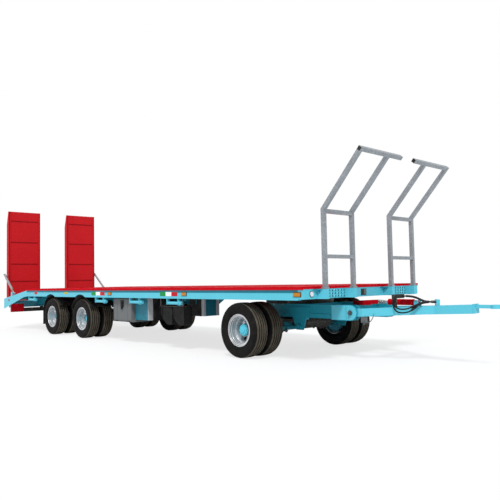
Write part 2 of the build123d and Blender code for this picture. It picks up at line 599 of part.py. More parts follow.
hub_points = [(40.05, -178), (s - 57, -178), (s - 57, -40), (s - 82, -28), (s - 82, -12), (87.9, -12),
              (87.9, 14), (80, 20), (80, 88), (64, 104), (0, 104), (0, 60), (40.05, 60)]
hub = revolve(make_face(Polyline(*hub_points, close=True)), Axis.Y, 360)
for place, x in (("front", front_axle), ("mid", mid_axle), ("rear", rear_axle)):
    for name, side in (("left", 1), ("right", -1)):
        spot = Pos(-x, side * mount_y, tyre_radius)
        turn = Rot(0, 0, 0) if side > 0 else Rot(0, 0, 180)
        tag = place + "_" + name
        save("tyres_" + tag, [spot * turn * Pos(0, -c, 0) * tyre, spot * turn * Pos(0, c, 0) * tyre])
        save("rims_" + tag, spot * turn * rim)
        save("hub_" + tag, spot * turn * hub)
print("strut", round(strut_long, 3), round(strut_angle, 4), "front_x", front_x)
print("lift", round(lift_long, 3), round(lift_angle, 4))
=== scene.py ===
import json
import math
import bmesh
import bpy
from mathutils import Matrix, Vector

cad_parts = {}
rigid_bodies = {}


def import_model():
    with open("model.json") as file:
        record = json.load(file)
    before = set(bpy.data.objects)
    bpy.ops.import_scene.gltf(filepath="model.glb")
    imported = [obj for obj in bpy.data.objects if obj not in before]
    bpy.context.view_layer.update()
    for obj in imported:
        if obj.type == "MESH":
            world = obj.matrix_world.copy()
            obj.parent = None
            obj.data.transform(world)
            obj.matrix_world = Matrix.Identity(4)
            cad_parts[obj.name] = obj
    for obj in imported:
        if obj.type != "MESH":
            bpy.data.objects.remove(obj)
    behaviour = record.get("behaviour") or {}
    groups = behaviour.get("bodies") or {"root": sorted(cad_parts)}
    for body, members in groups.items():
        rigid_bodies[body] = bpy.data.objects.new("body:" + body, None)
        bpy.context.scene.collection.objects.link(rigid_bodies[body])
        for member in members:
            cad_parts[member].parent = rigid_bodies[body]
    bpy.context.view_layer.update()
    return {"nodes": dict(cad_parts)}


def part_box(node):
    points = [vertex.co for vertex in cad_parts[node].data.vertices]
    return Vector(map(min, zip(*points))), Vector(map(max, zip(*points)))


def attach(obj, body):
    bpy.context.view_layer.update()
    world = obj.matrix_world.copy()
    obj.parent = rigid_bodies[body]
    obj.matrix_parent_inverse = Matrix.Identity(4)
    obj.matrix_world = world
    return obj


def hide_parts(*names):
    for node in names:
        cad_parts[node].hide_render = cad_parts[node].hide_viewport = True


for old in list(bpy.data.objects):
    bpy.data.objects.remove(old)
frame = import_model()
nodes = frame["nodes"]
scene = bpy.context.scene
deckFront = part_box("deck_floor")[1].x  # every X below is counted from the deck's front face
bothSides = (-1, 1)
print("frame loaded, deck front at", round(deckFront, 3))


def at(x, y, z):
    return Vector((deckFront + x, y, z))


def srgb(code):
    parts = [int(code[i:i + 2], 16) / 255 for i in (1, 3, 5)]
    return tuple(p / 12.92 if p <= 0.04045 else ((p + 0.055) / 1.055) ** 2.4 for p in parts) + (1.0,)


def node(tree, kind, inputs=None, **settings):
    n = tree.nodes.new(kind)
    for key, value in settings.items():
        setattr(n, key, value)
    for key, value in (inputs or {}).items():
        if isinstance(value, bpy.types.NodeSocket):
            tree.links.new(value, n.inputs[key])
        else:
            n.inputs[key].default_value = value
    return n


# Camera: the photograph's standpoint, low at the trailer's front right
cameraSet = {"place": (4.599, -6.387, 1.036), "yaw": -47.107, "pitch": 3.042, "roll": -1.145,
             "lens": 41.45, "sensor": 36, "farthest": 200}
yaw, pitch, roll = (math.radians(cameraSet[k]) for k in ("yaw", "pitch", "roll"))
ahead = Vector((math.sin(yaw) * math.cos(pitch), math.cos(yaw) * math.cos(pitch), math.sin(pitch)))
right = Vector((math.cos(yaw), -math.sin(yaw), 0))
over = right.cross(ahead)
rightRolled = right * math.cos(roll) + over * math.sin(roll)
upRolled = over * math.cos(roll) - right * math.sin(roll)
cameraTurn = Matrix((rightRolled, upRolled, -ahead)).transposed().to_4x4()
camera = bpy.data.objects.new("camera", bpy.data.cameras.new("camera"))
camera.data.lens = cameraSet["lens"]
camera.data.sensor_width = cameraSet["sensor"]
camera.data.clip_end = cameraSet["farthest"]
camera.matrix_world = Matrix.Translation(at(*cameraSet["place"])) @ cameraTurn
scene.collection.objects.link(camera)
scene.camera = camera
scene.view_settings.view_transform = "Standard"

# Light: an even pale sky and one broad sun from the front right
lightSet = {"sky": 0.64, "skyColour": "#F4F7FA", "sun": 2.4, "sunTilt": 38, "sunTurn": 38, "sunSize": 14}
world = bpy.data.worlds.new("studio")
scene.world = world
world.use_nodes = True
tree = world.node_tree
tree.nodes.clear()
path = node(tree, "ShaderNodeLightPath")
seen = node(tree, "ShaderNodeMath", {0: path.outputs["Is Camera Ray"], 1: path.outputs["Is Glossy Ray"]},
            operation="MAXIMUM")
seen = node(tree, "ShaderNodeMath", {0: seen.outputs[0], 1: path.outputs["Is Transmission Ray"]},
            operation="MAXIMUM")
plain = node(tree, "ShaderNodeBackground",
             {"Color": srgb(lightSet["skyColour"]), "Strength": lightSet["sky"]})
white = node(tree, "ShaderNodeBackground", {"Color": (1, 1, 1, 1), "Strength": 1.0})
both = node(tree, "ShaderNodeMixShader", {0: seen.outputs[0], 1: plain.outputs[0], 2: white.outputs[0]})
node(tree, "ShaderNodeOutputWorld", {"Surface": both.outputs[0]})
sun = bpy.data.objects.new("sun", bpy.data.lights.new("sun", "SUN"))
sun.data.energy = lightSet["sun"]
sun.data.angle = math.radians(lightSet["sunSize"])
sun.rotation_euler = (math.radians(lightSet["sunTilt"]), 0, math.radians(lightSet["sunTurn"]))
scene.collection.objects.link(sun)
print("camera and light ready")

materials = {}


def material(name):
    m = bpy.data.materials.new(name)
    m.use_nodes = True
    m.node_tree.nodes.clear()
    materials[name] = m
    return m, m.node_tree


def finishMaterial(tree, shader):
    node(tree, "ShaderNodeOutputMaterial", {"Surface": shader.outputs[0]})


enamelSet = {"patches": 2.2,  # noise scale of tone patches about 450 mm wide
             "blotches": 38.0,  # dust blotches about 26 mm
             "peel": 160.0,  # orange peel about 6 mm
             "dustColour": "#B9AE9C", "dustRough": 0.7, "cleanAbove": 1.2, "coatRough": 0.12}


def paint(name, colour, shade, rough, dust, coat=0.05, low=0.55, metal=0.0, shine=0.2):
    # Sprayed enamel on steel: even colour, faint orange peel, road dust that thickens towards the ground
    m, tree = material(name)
    where = node(tree, "ShaderNodeTexCoord").outputs["Object"]
    cloud = node(tree, "ShaderNodeTexNoise", {"Vector": where, "Scale": enamelSet["patches"], "Detail": 5.0})
    tone = node(tree, "ShaderNodeMix", {0: cloud.outputs["Fac"], 6: srgb(colour), 7: srgb(shade)},
                data_type="RGBA")
    split = node(tree, "ShaderNodeSeparateXYZ", {0: where})
    fall = node(tree, "ShaderNodeMapRange",
                {0: split.outputs["Z"], 1: low, 2: enamelSet["cleanAbove"], 3: 1.0, 4: 0.0})
    speck = node(tree, "ShaderNodeTexNoise", {"Vector": where, "Scale": enamelSet["blotches"], "Detail": 6.0})
    spots = node(tree, "ShaderNodeMapRange", {0: speck.outputs["Fac"], 1: 0.48, 2: 0.75, 3: 0.12, 4: 1.0})
    amount = node(tree, "ShaderNodeMath", {0: fall.outputs[0], 1: spots.outputs[0]}, operation="MULTIPLY")
    amount = node(tree, "ShaderNodeMath", {0: amount.outputs[0], 1: dust}, operation="MULTIPLY")
    dirty = node(tree, "ShaderNodeMix",
                 {0: amount.outputs[0], 6: tone.outputs[2], 7: srgb(enamelSet["dustColour"])},
                 data_type="RGBA")
    gloss = node(tree, "ShaderNodeMapRange",
                 {0: amount.outputs[0], 1: 0.0, 2: 0.6, 3: rough, 4: enamelSet["dustRough"]})
    peel = node(tree, "ShaderNodeTexNoise", {"Vector": where, "Scale": enamelSet["peel"], "Detail": 2.0})
    bump = node(tree, "ShaderNodeBump", {"Strength": 0.05, "Distance": 0.001, "Height": peel.outputs["Fac"]})
    shader = node(tree, "ShaderNodeBsdfPrincipled",
                  {"Base Color": dirty.outputs[2], "Roughness": gloss.outputs[0], "Normal": bump.outputs[0],
                   "Coat Weight": coat, "Coat Roughness": enamelSet["coatRough"], "Metallic": metal,
                   "Specular IOR Level": shine})
    finishMaterial(tree, shader)
    return m


skyPaint = paint("skyBlueEnamel", "#5BC2D5", "#50B6CB", 0.34, 0.1)
# a darker copy of the sky-blue enamel: painted shade for the frame, gussets and dolly under the deck
skyUnderShaded = paint("skyBlueUnderframeShaded", "#1796AB", "#10879C", 0.45, 0.1, low=0.3)
deckPaint = paint("redDeckEnamel", "#C20719", "#B40616", 0.6, 0.03, coat=0.0, shine=0.02)
rampPaint = paint("redRampEnamel", "#C8252B", "#B91D24", 0.55, 0.05, coat=0.0, low=0.5, shine=0.04)
# darker red: on the deck the weld beads' own colour, on the ramps painted shade along the cross seams and the
# face's edges
seamRedAndShade = paint("redWeldsAndPaintedShade", "#8C1017", "#7E0D13", 0.6, 0.05, coat=0.0, low=0.5, shine=0.1)
silverPaint = paint("silverWheelPaint", "#D6D8DA", "#C6C8CB", 0.28, 0.1, low=0.1, metal=0.55, shine=0.5)
blackPaint = paint("blackChassisPaint", "#17181A", "#101113", 0.45, 0.4, low=0.3)
hubPaint = paint("skyBlueHub", "#58CADF", "#49B8CE", 0.38, 0.15, low=0.2)
barrelPaint = paint("greyStrutPaint", "#9A9CA0", "#85888C", 0.36, 0.1)
# a paler, non-metallic copy of the zinc for the locker angles, lightened against the shade under the deck:
# painted light
angleZincLit = paint("dullZincAngleLit", "#C4C8CA", "#B0B5B8", 0.5, 0.1, low=0.3, metal=0.1)
tealPaint = paint("tealBoxEnamel", "#0D7A8E", "#0A6A7D", 0.45, 0.1, low=0.3)


def galvanised(name, deep, pale):
    # Hot dip zinc: dull grey metal with a leafy spangle about 14 mm across
    m, tree = material(name)
    where = node(tree, "ShaderNodeTexCoord").outputs["Object"]
    spangle = node(tree, "ShaderNodeTexVoronoi", {"Vector": where, "Scale": 70.0})
    cloud = node(tree, "ShaderNodeTexNoise", {"Vector": where, "Scale": 5.0, "Detail": 6.0})
    leaf = node(tree, "ShaderNodeRGBToBW", {0: spangle.outputs["Color"]})
    mixed = node(tree, "ShaderNodeMath", {0: leaf.outputs[0], 1: cloud.outputs["Fac"]}, operation="MULTIPLY")
    tone = node(tree, "ShaderNodeValToRGB", {0: mixed.outputs[0]})
    for stop, colour, position in zip(tone.color_ramp.elements, (deep, pale), (0.05, 0.55)):
        stop.color = srgb(colour)
        stop.position = position
    gloss = node(tree, "ShaderNodeMapRange", {0: leaf.outputs[0], 3: 0.34, 4: 0.46})
    shader = node(tree, "ShaderNodeBsdfPrincipled",
                  {"Base Color": tone.outputs[0], "Roughness": gloss.outputs[0], "Metallic": 0.45})
    finishMaterial(tree, shader)
    return m


zinc = galvanised("galvanisedSteel", "#7D8388", "#9DA3A8")


def plainMetal(name, colour, rough, grain):
    # Turned or plated steel: fine scratches along one way, a little dulling
    m, tree = material(name)
    where = node(tree, "ShaderNodeTexCoord").outputs["Object"]
    stretch = node(tree, "ShaderNodeMapping", {"Vector": where, "Scale": (grain, grain * 8, grain * 8)})
    scratch = node(tree, "ShaderNodeTexNoise", {"Vector": stretch.outputs[0], "Scale": 12.0, "Detail": 6.0})
    gloss = node(tree, "ShaderNodeMapRange", {0: scratch.outputs["Fac"], 3: rough * 0.7, 4: rough * 1.5})
    tone = node(tree, "ShaderNodeMix", {0: scratch.outputs["Fac"], 6: srgb(colour), 7: srgb("#8C8F92")},
                data_type="RGBA")
    shader = node(tree, "ShaderNodeBsdfPrincipled",
                  {"Base Color": tone.outputs[2], "Roughness": gloss.outputs[0], "Metallic": 1.0})
    finishMaterial(tree, shader)
    return m


plainMetal("chromedRod", "#D7D9DC", 0.16, 2.0)
plated = plainMetal("zincPlatedSteel", "#C4C2BC", 0.34, 4.0)
springSteel = plainMetal("darkSpringSteel", "#4A4D50", 0.5, 3.0)
brass = plainMetal("brassGland", "#C9A24A", 0.3, 4.0)


def moulded(name, colour, shade, rough, grit, dust=0.2, shine=0.15):
    # Moulded polymer or rubber: fine leathery grain, its grit in mm, and a dry dusty bloom
    m, tree = material(name)
    where = node(tree, "ShaderNodeTexCoord").outputs["Object"]
    grain = node(tree, "ShaderNodeTexNoise", {"Vector": where, "Scale": 1000 / grit, "Detail": 3.0})
    bloom = node(tree, "ShaderNodeTexNoise", {"Vector": where, "Scale": 9.0, "Detail": 7.0})
    patch = node(tree, "ShaderNodeMapRange", {0: bloom.outputs["Fac"], 1: 0.4, 2: 0.8, 3: 0.0, 4: dust})
    tone = node(tree, "ShaderNodeMix", {0: grain.outputs["Fac"], 6: srgb(colour), 7: srgb(shade)},
                data_type="RGBA")
    dry = node(tree, "ShaderNodeMix", {0: patch.outputs[0], 6: tone.outputs[2], 7: srgb("#7D766B")},
               data_type="RGBA")
    gloss = node(tree, "ShaderNodeMapRange", {0: bloom.outputs["Fac"], 3: rough - 0.08, 4: rough + 0.14})
    bump = node(tree, "ShaderNodeBump",
                {"Strength": 0.25, "Distance": grit / 5000, "Height": grain.outputs["Fac"]})
    shader = node(tree, "ShaderNodeBsdfPrincipled",
                  {"Base Color": dry.outputs[2], "Roughness": gloss.outputs[0], "Normal": bump.outputs[0],
                   "Specular IOR Level": shine})
    finishMaterial(tree, shader)
    return m


blackPlastic = moulded("blackPolyethylene", "#1B1C1E", "#131416", 0.55, 3.0)
chockPlastic = moulded("chockPlastic", "#101112", "#0C0D0E", 0.6, 3.0, 0.08)
greyPlastic = moulded("greyPolyethylene", "#6E7172", "#626566", 0.5, 3.0, 0.1)
hoseRubber = moulded("hoseRubber", "#15161A", "#0F1013", 0.42, 2.0, 0.06)
tyreRubber = moulded("tyreRubber", "#0F0E0E", "#0B0A0A", 0.66, 5.0, 0.05, 0.1)
treadRubber = moulded("dustyTreadRubber", "#544E43", "#433E35", 0.85, 4.0, 0.35, 0.08)
holeShade = moulded("shadedOpening", "#0E4450", "#0A353F", 0.7, 3.0, 0.05)


def lens(name, colour, deep):
    # Acrylic lens over a dark case: glossy, with fine optic squares of about 8 mm
    m, tree = material(name)
    where = node(tree, "ShaderNodeTexCoord").outputs["Object"]
    optic = node(tree, "ShaderNodeTexChecker",
                 {"Vector": where, "Scale": 125.0, "Color1": srgb(colour), "Color2": srgb(deep)})
    shader = node(tree, "ShaderNodeBsdfPrincipled",
                  {"Base Color": optic.outputs[0], "Roughness": 0.2, "Coat Weight": 0.15,
                   "Specular IOR Level": 0.3})
    finishMaterial(tree, shader)
    return m


amberLens = lens("amberLens", "#C4820E", "#A26408")
redLens = lens("redLens", "#B3121A", "#8E0C14")
whiteLens = lens("whiteLens", "#E8EBEC", "#CDD2D5")


def sticker(name, colour):
    # Reflective film: flat colour with a faint hexagonal cell of about 5 mm
    m, tree = material(name)
    where = node(tree, "ShaderNodeTexCoord").outputs["Object"]
    cell = node(tree, "ShaderNodeTexVoronoi", {"Vector": where, "Scale": 200.0})
    gloss = node(tree, "ShaderNodeMapRange", {0: cell.outputs["Distance"], 3: 0.22, 4: 0.45})
    worn = node(tree, "ShaderNodeTexNoise", {"Vector": where, "Scale": 30.0, "Detail": 4.0})
    fade = node(tree, "ShaderNodeMapRange", {0: worn.outputs["Fac"], 3: 0.9, 4: 1.06})
    tone = node(tree, "ShaderNodeHueSaturation", {"Color": srgb(colour), "Value": fade.outputs[0]})
    shader = node(tree, "ShaderNodeBsdfPrincipled",
                  {"Base Color": tone.outputs[0], "Roughness": gloss.outputs[0], "Specular IOR Level": 0.15})
    finishMaterial(tree, shader)
    return m


filmFinish = {"green": sticker("greenFilm", "#0B8C40"), "white": sticker("whiteFilm", "#E9ECEC"),
              "red": sticker("redFilm", "#BC0A1E"), "yellow": sticker("yellowFilm", "#B9AA2A")}
filmDark = sticker("darkPlateFilm", "#23272B")
print("materials ready:", len(materials))

# CAD nodes that stay get the finish of the real piece
finishes = {
    "skyBlueEnamel": ["side_rails", "front_beam", "tail_beam", "drawbar_frame", "rail_fittings",
                      "towing_eye", "hose_park"],
    # the underframe nodes take the darker, shaded copy of the sky-blue enamel: painted shade
    "skyBlueUnderframeShaded": ["main_beams", "cross_members", "bogie_hangers", "rear_axles", "dolly_frame",
                          "dolly_hangers", "front_axle"],
    "tealBoxEnamel": ["lockers"],
    "redDeckEnamel": ["deck_floor", "tail_floor", "lift_bracket", "lift_barrel", "rear_lamps"],
    "redRampEnamel": ["ramp_right", "ramp_left"],
    "galvanisedSteel": ["ladders"],
    "blackChassisPaint": ["turntable_upper", "turntable_lower", "hose_stand", "hose_plugs", "underrun_bar"],
    "darkSpringSteel": ["bogie_springs", "dolly_springs"],
    "greyPolyethylene": ["toolbox"],
    "chockPlastic": ["wheel_chocks"],
    "blackPolyethylene": ["mudguards"],
    "chromedRod": ["lift_rod", "strut_rod_right", "strut_rod_left"],
    "greyStrutPaint": ["strut_barrel_right", "strut_barrel_left"],
}
wheelPlaces = [(p, s) for p in ("front", "mid", "rear") for s in ("right", "left")]
finishes["silverWheelPaint"] = [f"rims_{p}_{s}" for p, s in wheelPlaces]
finishes["skyBlueHub"] = [f"hub_{p}_{s}" for p, s in wheelPlaces]
for name, members in finishes.items():
    for member in members:
        nodes[member].data.materials.clear()
        nodes[member].data.materials.append(materials[name])


# Small building tools: each adds to a bmesh in the frame's metres
def slab(work, a, b):
    size = Vector([abs(q - p) for p, q in zip(a, b)])
    centre = (Vector(a) + Vector(b)) / 2
    place = Matrix.Translation(centre) @ Matrix.Diagonal((*size, 1))
    bmesh.ops.create_cube(work, size=1, matrix=place)


def drum(work, a, b, radius, sides=24, tip=None):
    a, b = Vector(a), Vector(b)
    turn = (b - a).to_track_quat("Z", "Y").to_matrix().to_4x4()
    bmesh.ops.create_cone(work, cap_ends=True, segments=sides, radius1=radius,
                          radius2=radius if tip is None else tip, depth=(b - a).length,
                          matrix=Matrix.Translation((a + b) / 2) @ turn)


def sheetPiece(work, points, push):
    face = work.faces.new([work.verts.new(Vector(p)) for p in points])
    out = bmesh.ops.extrude_face_region(work, geom=[face])["geom"]
    bmesh.ops.translate(work, verts=[v for v in out if isinstance(v, bmesh.types.BMVert)], vec=Vector(push))


def stitch(work, rings):
    # quads between each ring of points and the next, with each one's place in the ring
    made = []
    for here, there in zip(rings, rings[1:]):
        for k in range(len(here)):
            after = (k + 1) % len(here)
            made.append((k, work.faces.new((here[k], here[after], there[after], there[k]))))
    return made


def tubeAlong(work, line, radius, sides=14):
    # a closed tube on a row of points, its rings turned with the line
    rings = []
    across = None
    for i, spot in enumerate(line):
        way = (line[min(i + 1, len(line) - 1)] - line[max(i - 1, 0)]).normalized()
        across = (way.orthogonal() if across is None else across - way * across.dot(way)).normalized()
        third = way.cross(across)
        rings.append([work.verts.new(spot + (across * math.cos(a) + third * math.sin(a)) * radius)
                      for a in (2 * math.pi * k / sides for k in range(sides))])
    stitch(work, rings)
    work.faces.new(rings[0])
    work.faces.new(rings[-1])


def mirrored(work):
    out = bmesh.ops.duplicate(work, geom=work.verts[:] + work.edges[:] + work.faces[:])
    for v in out["geom"]:
        if isinstance(v, bmesh.types.BMVert):
            v.co.y = -v.co.y


def bake(name, work, soft=0.0, smoothBelow=38):
    # outward normals, edges sharper than smoothBelow degrees softened by a bevel, then a plain mesh
    bmesh.ops.recalc_face_normals(work, faces=work.faces[:])
    limit = math.radians(smoothBelow)
    if soft:
        sharp = [e for e in work.edges if e.is_manifold and e.calc_face_angle(0) > limit]
        bmesh.ops.bevel(work, geom=sharp, offset=soft, segments=2, affect="EDGES", clamp_overlap=True)
        bmesh.ops.recalc_face_normals(work, faces=work.faces[:])
    for f in work.faces:
        f.smooth = True
    for e in work.edges:
        e.smooth = e.is_manifold and e.calc_face_angle(0) < limit
    mesh = bpy.data.meshes.new(name)
    work.to_mesh(mesh)
    work.free()
    return mesh


def keep(name, mesh, body, finish=None, replaced=()):
    piece = bpy.data.objects.new(name, mesh)
    scene.collection.objects.link(piece)
    if finish:
        mesh.materials.clear()
        mesh.materials.append(finish)
    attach(piece, body)
    if replaced:
        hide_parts(*replaced)
    return piece


def add(name, work, body, finish, soft=0.0, replaced=()):
    return keep(name, bake(name, work, soft), body, finish, replaced)


# Hoses: from the drawbar's stand to the parking block, with a rubber sleeve over each one's far end
hoseSet = {"diameter": 0.018, "sleeve": 0.0138, "sleeveTo": 0.97,
           "sleeveFrom": {"hose_upper": 0.06, "hose_loop_long": 0.62, "hose_loop_short": 0.62},
           "cornerCut": 0.965}  # the spline's length over that of its straight pieces
hoseRoutes = {
    "hose_upper": [
        (0.612, -0.070, 0.805), (0.690, -0.070, 0.805), (0.765, -0.054, 0.790), (0.825, -0.030, 0.758),
        (0.878, -0.014, 0.735), (0.926, 0.022, 0.735)],
    "hose_loop_long": [
        (0.590, -0.286, 0.766), (0.590, -0.286, 0.705), (0.612, -0.296, 0.650), (0.664, -0.306, 0.617),
        (0.735, -0.300, 0.608), (0.797, -0.262, 0.622), (0.836, -0.205, 0.665), (0.858, -0.120, 0.722),
        (0.906, -0.043, 0.735), (0.950, -0.010, 0.735)],
    "hose_loop_short": [
        (0.590, -0.262, 0.766), (0.590, -0.262, 0.718), (0.612, -0.272, 0.680), (0.660, -0.284, 0.657),
        (0.722, -0.282, 0.650), (0.782, -0.255, 0.660), (0.836, -0.214, 0.690), (0.886, -0.150, 0.720),
        (0.926, -0.078, 0.735), (0.974, -0.042, 0.735)],
}
for name, route in hoseRoutes.items():
    points = [at(*p) for p in route]
    curve = bpy.data.curves.new(name + "Line", "CURVE")
    curve.dimensions = "3D"
    spline = curve.splines.new("NURBS")
    spline.points.add(len(points) - 1)
    for point, spot in zip(spline.points, points):
        point.co = (*spot, 1)
    spline.order_u = 3
    spline.use_endpoint_u = True
    spline.resolution_u = 12
    hose = bpy.data.objects.new(name + "Rubber", curve)
    scene.collection.objects.link(hose)
    bare = bpy.data.meshes.new_from_object(hose.evaluated_get(bpy.context.evaluated_depsgraph_get()))
    line = [v.co.copy() for v in bare.vertices]
    bpy.data.meshes.remove(bare)
    first, last = (int(len(line) * part) for part in (hoseSet["sleeveFrom"][name], hoseSet["sleeveTo"]))
    work = bmesh.new()
    tubeAlong(work, line[first:last], hoseSet["sleeve"])
    sleeve = add(name + "Sleeve", work, "drawbar", hoseRubber)
    curve.bevel_depth = hoseSet["diameter"] / 2
    curve.bevel_resolution = 5
    curve.materials.append(hoseRubber)
    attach(hose, "drawbar")
    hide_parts(name)
print("hoses laid")


def newTree(name, wholes, sizes, vectors=()):
    # every tree also takes its result's place, turn and finish
    group = bpy.data.node_groups.new(name, "GeometryNodeTree")
    kinds = {"NodeSocketInt": wholes, "NodeSocketFloat": sizes,
             "NodeSocketVector": (*vectors, "Place", "Turn"), "NodeSocketMaterial": ("Finish",)}
    for kind, labels in kinds.items():
        for label in labels:
            group.interface.new_socket(label, in_out="INPUT", socket_type=kind)
    group.interface.new_socket("Geometry", in_out="OUTPUT", socket_type="NodeSocketGeometry")
    return group, node(group, "NodeGroupInput").outputs


def closeTree(group, inp, geometry):
    placed = node(group, "GeometryNodeTransform",
                  {"Geometry": geometry, "Translation": inp["Place"], "Rotation": inp["Turn"]})
    real = node(group, "GeometryNodeRealizeInstances", {0: placed.outputs[0]})
    dressed = node(group, "GeometryNodeSetMaterial", {"Geometry": real.outputs[0], "Material": inp["Finish"]})
    node(group, "NodeGroupOutput", {0: dressed.outputs[0]})


def grow(name, group, values):
    # runs the tree with these inputs and gives its result as a plain mesh
    holder = bpy.data.objects.new(name + "Holder", bpy.data.meshes.new(name + "Holder"))
    scene.collection.objects.link(holder)
    modifier = holder.modifiers.new("grow", "NODES")
    modifier.node_group = group
    for item in group.interface.items_tree:
        if item.in_out == "INPUT" and item.name in values:
            modifier[item.identifier] = values[item.name]
    holder.update_tag()
    grown = bpy.data.meshes.new_from_object(holder.evaluated_get(bpy.context.evaluated_depsgraph_get()))
    holder.modifiers.remove(modifier)
    bpy.data.objects.remove(holder)
    work = bmesh.new()
    work.from_mesh(grown)
    bpy.data.meshes.remove(grown)
    mesh = bake(name, work)
    mesh.materials.append(values["Finish"])
    return mesh


# Rings of nuts or bolt heads, each with its stud
ringTree, inp = newTree("nutRing", ("Count",),
                        ("Ring radius", "Nut radius", "Nut height", "Stud radius", "Stud height"))
circle = node(ringTree, "GeometryNodeMeshCircle", {"Vertices": inp["Count"], "Radius": inp["Ring radius"]})
pair = node(ringTree, "GeometryNodeJoinGeometry")
for label, sides in (("Nut", 6), ("Stud", 10)):
    radius, height = inp[label + " radius"], inp[label + " height"]
    bar = node(ringTree, "GeometryNodeMeshCylinder", {"Vertices": sides, "Radius": radius, "Depth": height})
    half = node(ringTree, "ShaderNodeMath", {0: height, 1: 0.5}, operation="MULTIPLY")
    lift = node(ringTree, "ShaderNodeCombineXYZ", {"Z": half.outputs[0]})
    raised = node(ringTree, "GeometryNodeTransform",
                  {"Geometry": bar.outputs["Mesh"], "Translation": lift.outputs[0]})
    ringTree.links.new(raised.outputs[0], pair.inputs[0])
spread = node(ringTree, "GeometryNodeInstanceOnPoints",
              {"Points": circle.outputs[0], "Instance": pair.outputs[0]})
closeTree(ringTree, inp, spread.outputs[0])

# Fields of raised lozenges or holes on a flat face, every second one turned the other way
fieldTree, inp = newTree("studField", ("Count long", "Count wide"), ("Long", "Wide"), ("Stud size",))
grid = node(fieldTree, "GeometryNodeMeshGrid",
            {"Size X": inp["Long"], "Size Y": inp["Wide"],
             "Vertices X": inp["Count long"], "Vertices Y": inp["Count wide"]})
bump = node(fieldTree, "GeometryNodeMeshUVSphere", {"Segments": 8, "Rings": 4, "Radius": 1.0})
bumpSized = node(fieldTree, "GeometryNodeTransform",
                 {"Geometry": bump.outputs["Mesh"], "Scale": inp["Stud size"]})
index = node(fieldTree, "GeometryNodeInputIndex")
odd = node(fieldTree, "ShaderNodeMath", {0: index.outputs[0], 1: 2.0}, operation="MODULO")
swing = node(fieldTree, "ShaderNodeMapRange", {0: odd.outputs[0], 3: math.radians(45), 4: math.radians(-45)})
turnEach = node(fieldTree, "ShaderNodeCombineXYZ", {"Z": swing.outputs[0]})
spread = node(fieldTree, "GeometryNodeInstanceOnPoints",
              {"Points": grid.outputs["Mesh"], "Instance": bumpSized.outputs[0],
               "Rotation": turnEach.outputs[0]})
closeTree(fieldTree, inp, spread.outputs[0])

# A wound wire
coilTree, inp = newTree("woundWire", (), ("Turns", "Coil radius", "Length", "Wire radius"))
spiral = node(coilTree, "GeometryNodeCurveSpiral",
              {"Resolution": 20, "Rotations": inp["Turns"], "Start Radius": inp["Coil radius"],
               "End Radius": inp["Coil radius"], "Height": inp["Length"]})
wire = node(coilTree, "GeometryNodeCurvePrimitiveCircle", {"Resolution": 8, "Radius": inp["Wire radius"]})
tube = node(coilTree, "GeometryNodeCurveToMesh",
            {"Curve": spiral.outputs[0], "Profile Curve": wire.outputs[0], "Fill Caps": True})
closeTree(coilTree, inp, tube.outputs[0])
print("node trees ready")

# Tyres: five ribs with zigzag grooves, notched shoulders and ridged side walls
# The right half of the section is drawn as (out from the middle, radius) and fitted to each CAD tyre
tyreSet = {"segments": 120, "zigzag": 0.0006, "notch": 0.004, "notchEvery": 4, "bead": 0.0135,
           "half": 0.115, "drawnHalf": 0.1055, "drawnSeat": 0.2225, "drawnRadius": 0.3835,
           "zigzagRows": range(1, 9), "notchRows": (9, 10), "grooveRows": (1, 2, 3, 5, 6, 7),
           "crown": [(0.0, 0.3835), (0.0122, 0.3834), (0.0130, 0.3725), (0.0230, 0.3725), (0.0238, 0.3832),
                     (0.0482, 0.3823), (0.0490, 0.3717), (0.0590, 0.3715), (0.0598, 0.3817),
                     (0.074, 0.3803), (0.085, 0.3762)],
           "wall": [(0.091, 0.372), (0.0965, 0.362), (0.100, 0.350), (0.1022, 0.335), (0.1043, 0.3325),
                    (0.1043, 0.328), (0.1032, 0.3255), (0.1055, 0.305), (0.1035, 0.285), (0.100, 0.270),
                    (0.0995, 0.2665), (0.1012, 0.264), (0.1006, 0.258), (0.0965, 0.2555),
                    (0.090, 0.247), (0.083, 0.240), (0.0765, 0.2365), (0.0745, 0.2225)]}
rightHalf = tyreSet["crown"] + tyreSet["wall"]
middleRow = len(rightHalf) - 1
crownEnd = len(tyreSet["crown"]) - 1
for p, s in wheelPlaces:
    low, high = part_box(f"tyres_{p}_{s}")
    axleX, axleZ = (low.x + high.x) / 2, (low.z + high.z) / 2
    radius = (high.z - low.z) / 2
    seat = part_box(f"rims_{p}_{s}")[1].z - axleZ - tyreSet["bead"]
    wider = tyreSet["half"] / tyreSet["drawnHalf"]
    taller = (radius - seat) / (tyreSet["drawnRadius"] - tyreSet["drawnSeat"])
    fitted = [(y * wider, seat + (r - tyreSet["drawnSeat"]) * taller) for y, r in rightHalf]
    profile = [(-y, r) for y, r in fitted[:0:-1]] + fitted
    work = bmesh.new()
    for middle in (low.y + tyreSet["half"], high.y - tyreSet["half"]):
        rings = []
        for i in range(tyreSet["segments"]):
            angle = 2 * math.pi * i / tyreSet["segments"]
            ring = []
            for k, (y, r) in enumerate(profile):
                row = abs(k - middleRow)
                if row in tyreSet["zigzagRows"]:
                    y += tyreSet["zigzag"] * (1 if i % 2 else -1)
                if row in tyreSet["notchRows"] and i % tyreSet["notchEvery"] == 0:
                    r -= tyreSet["notch"]
                spot = (axleX + r * math.cos(angle), middle + y, axleZ + r * math.sin(angle))
                ring.append(work.verts.new(spot))
            rings.append(ring)
        for k, face in stitch(work, rings + rings[:1]):
            row = abs(k + 0.5 - middleRow)
            face.material_index = 1 if row < crownEnd and int(row) not in tyreSet["grooveRows"] else 0
    mesh = bake(f"tyre_{p}_{s}", work)
    mesh.materials.append(tyreRubber)
    mesh.materials.append(treadRubber)
    keep(f"treadedTyres_{p}_{s}", mesh, f"wheels_{p}_{s}", replaced=(f"tyres_{p}_{s}",))
print("tyres ready")

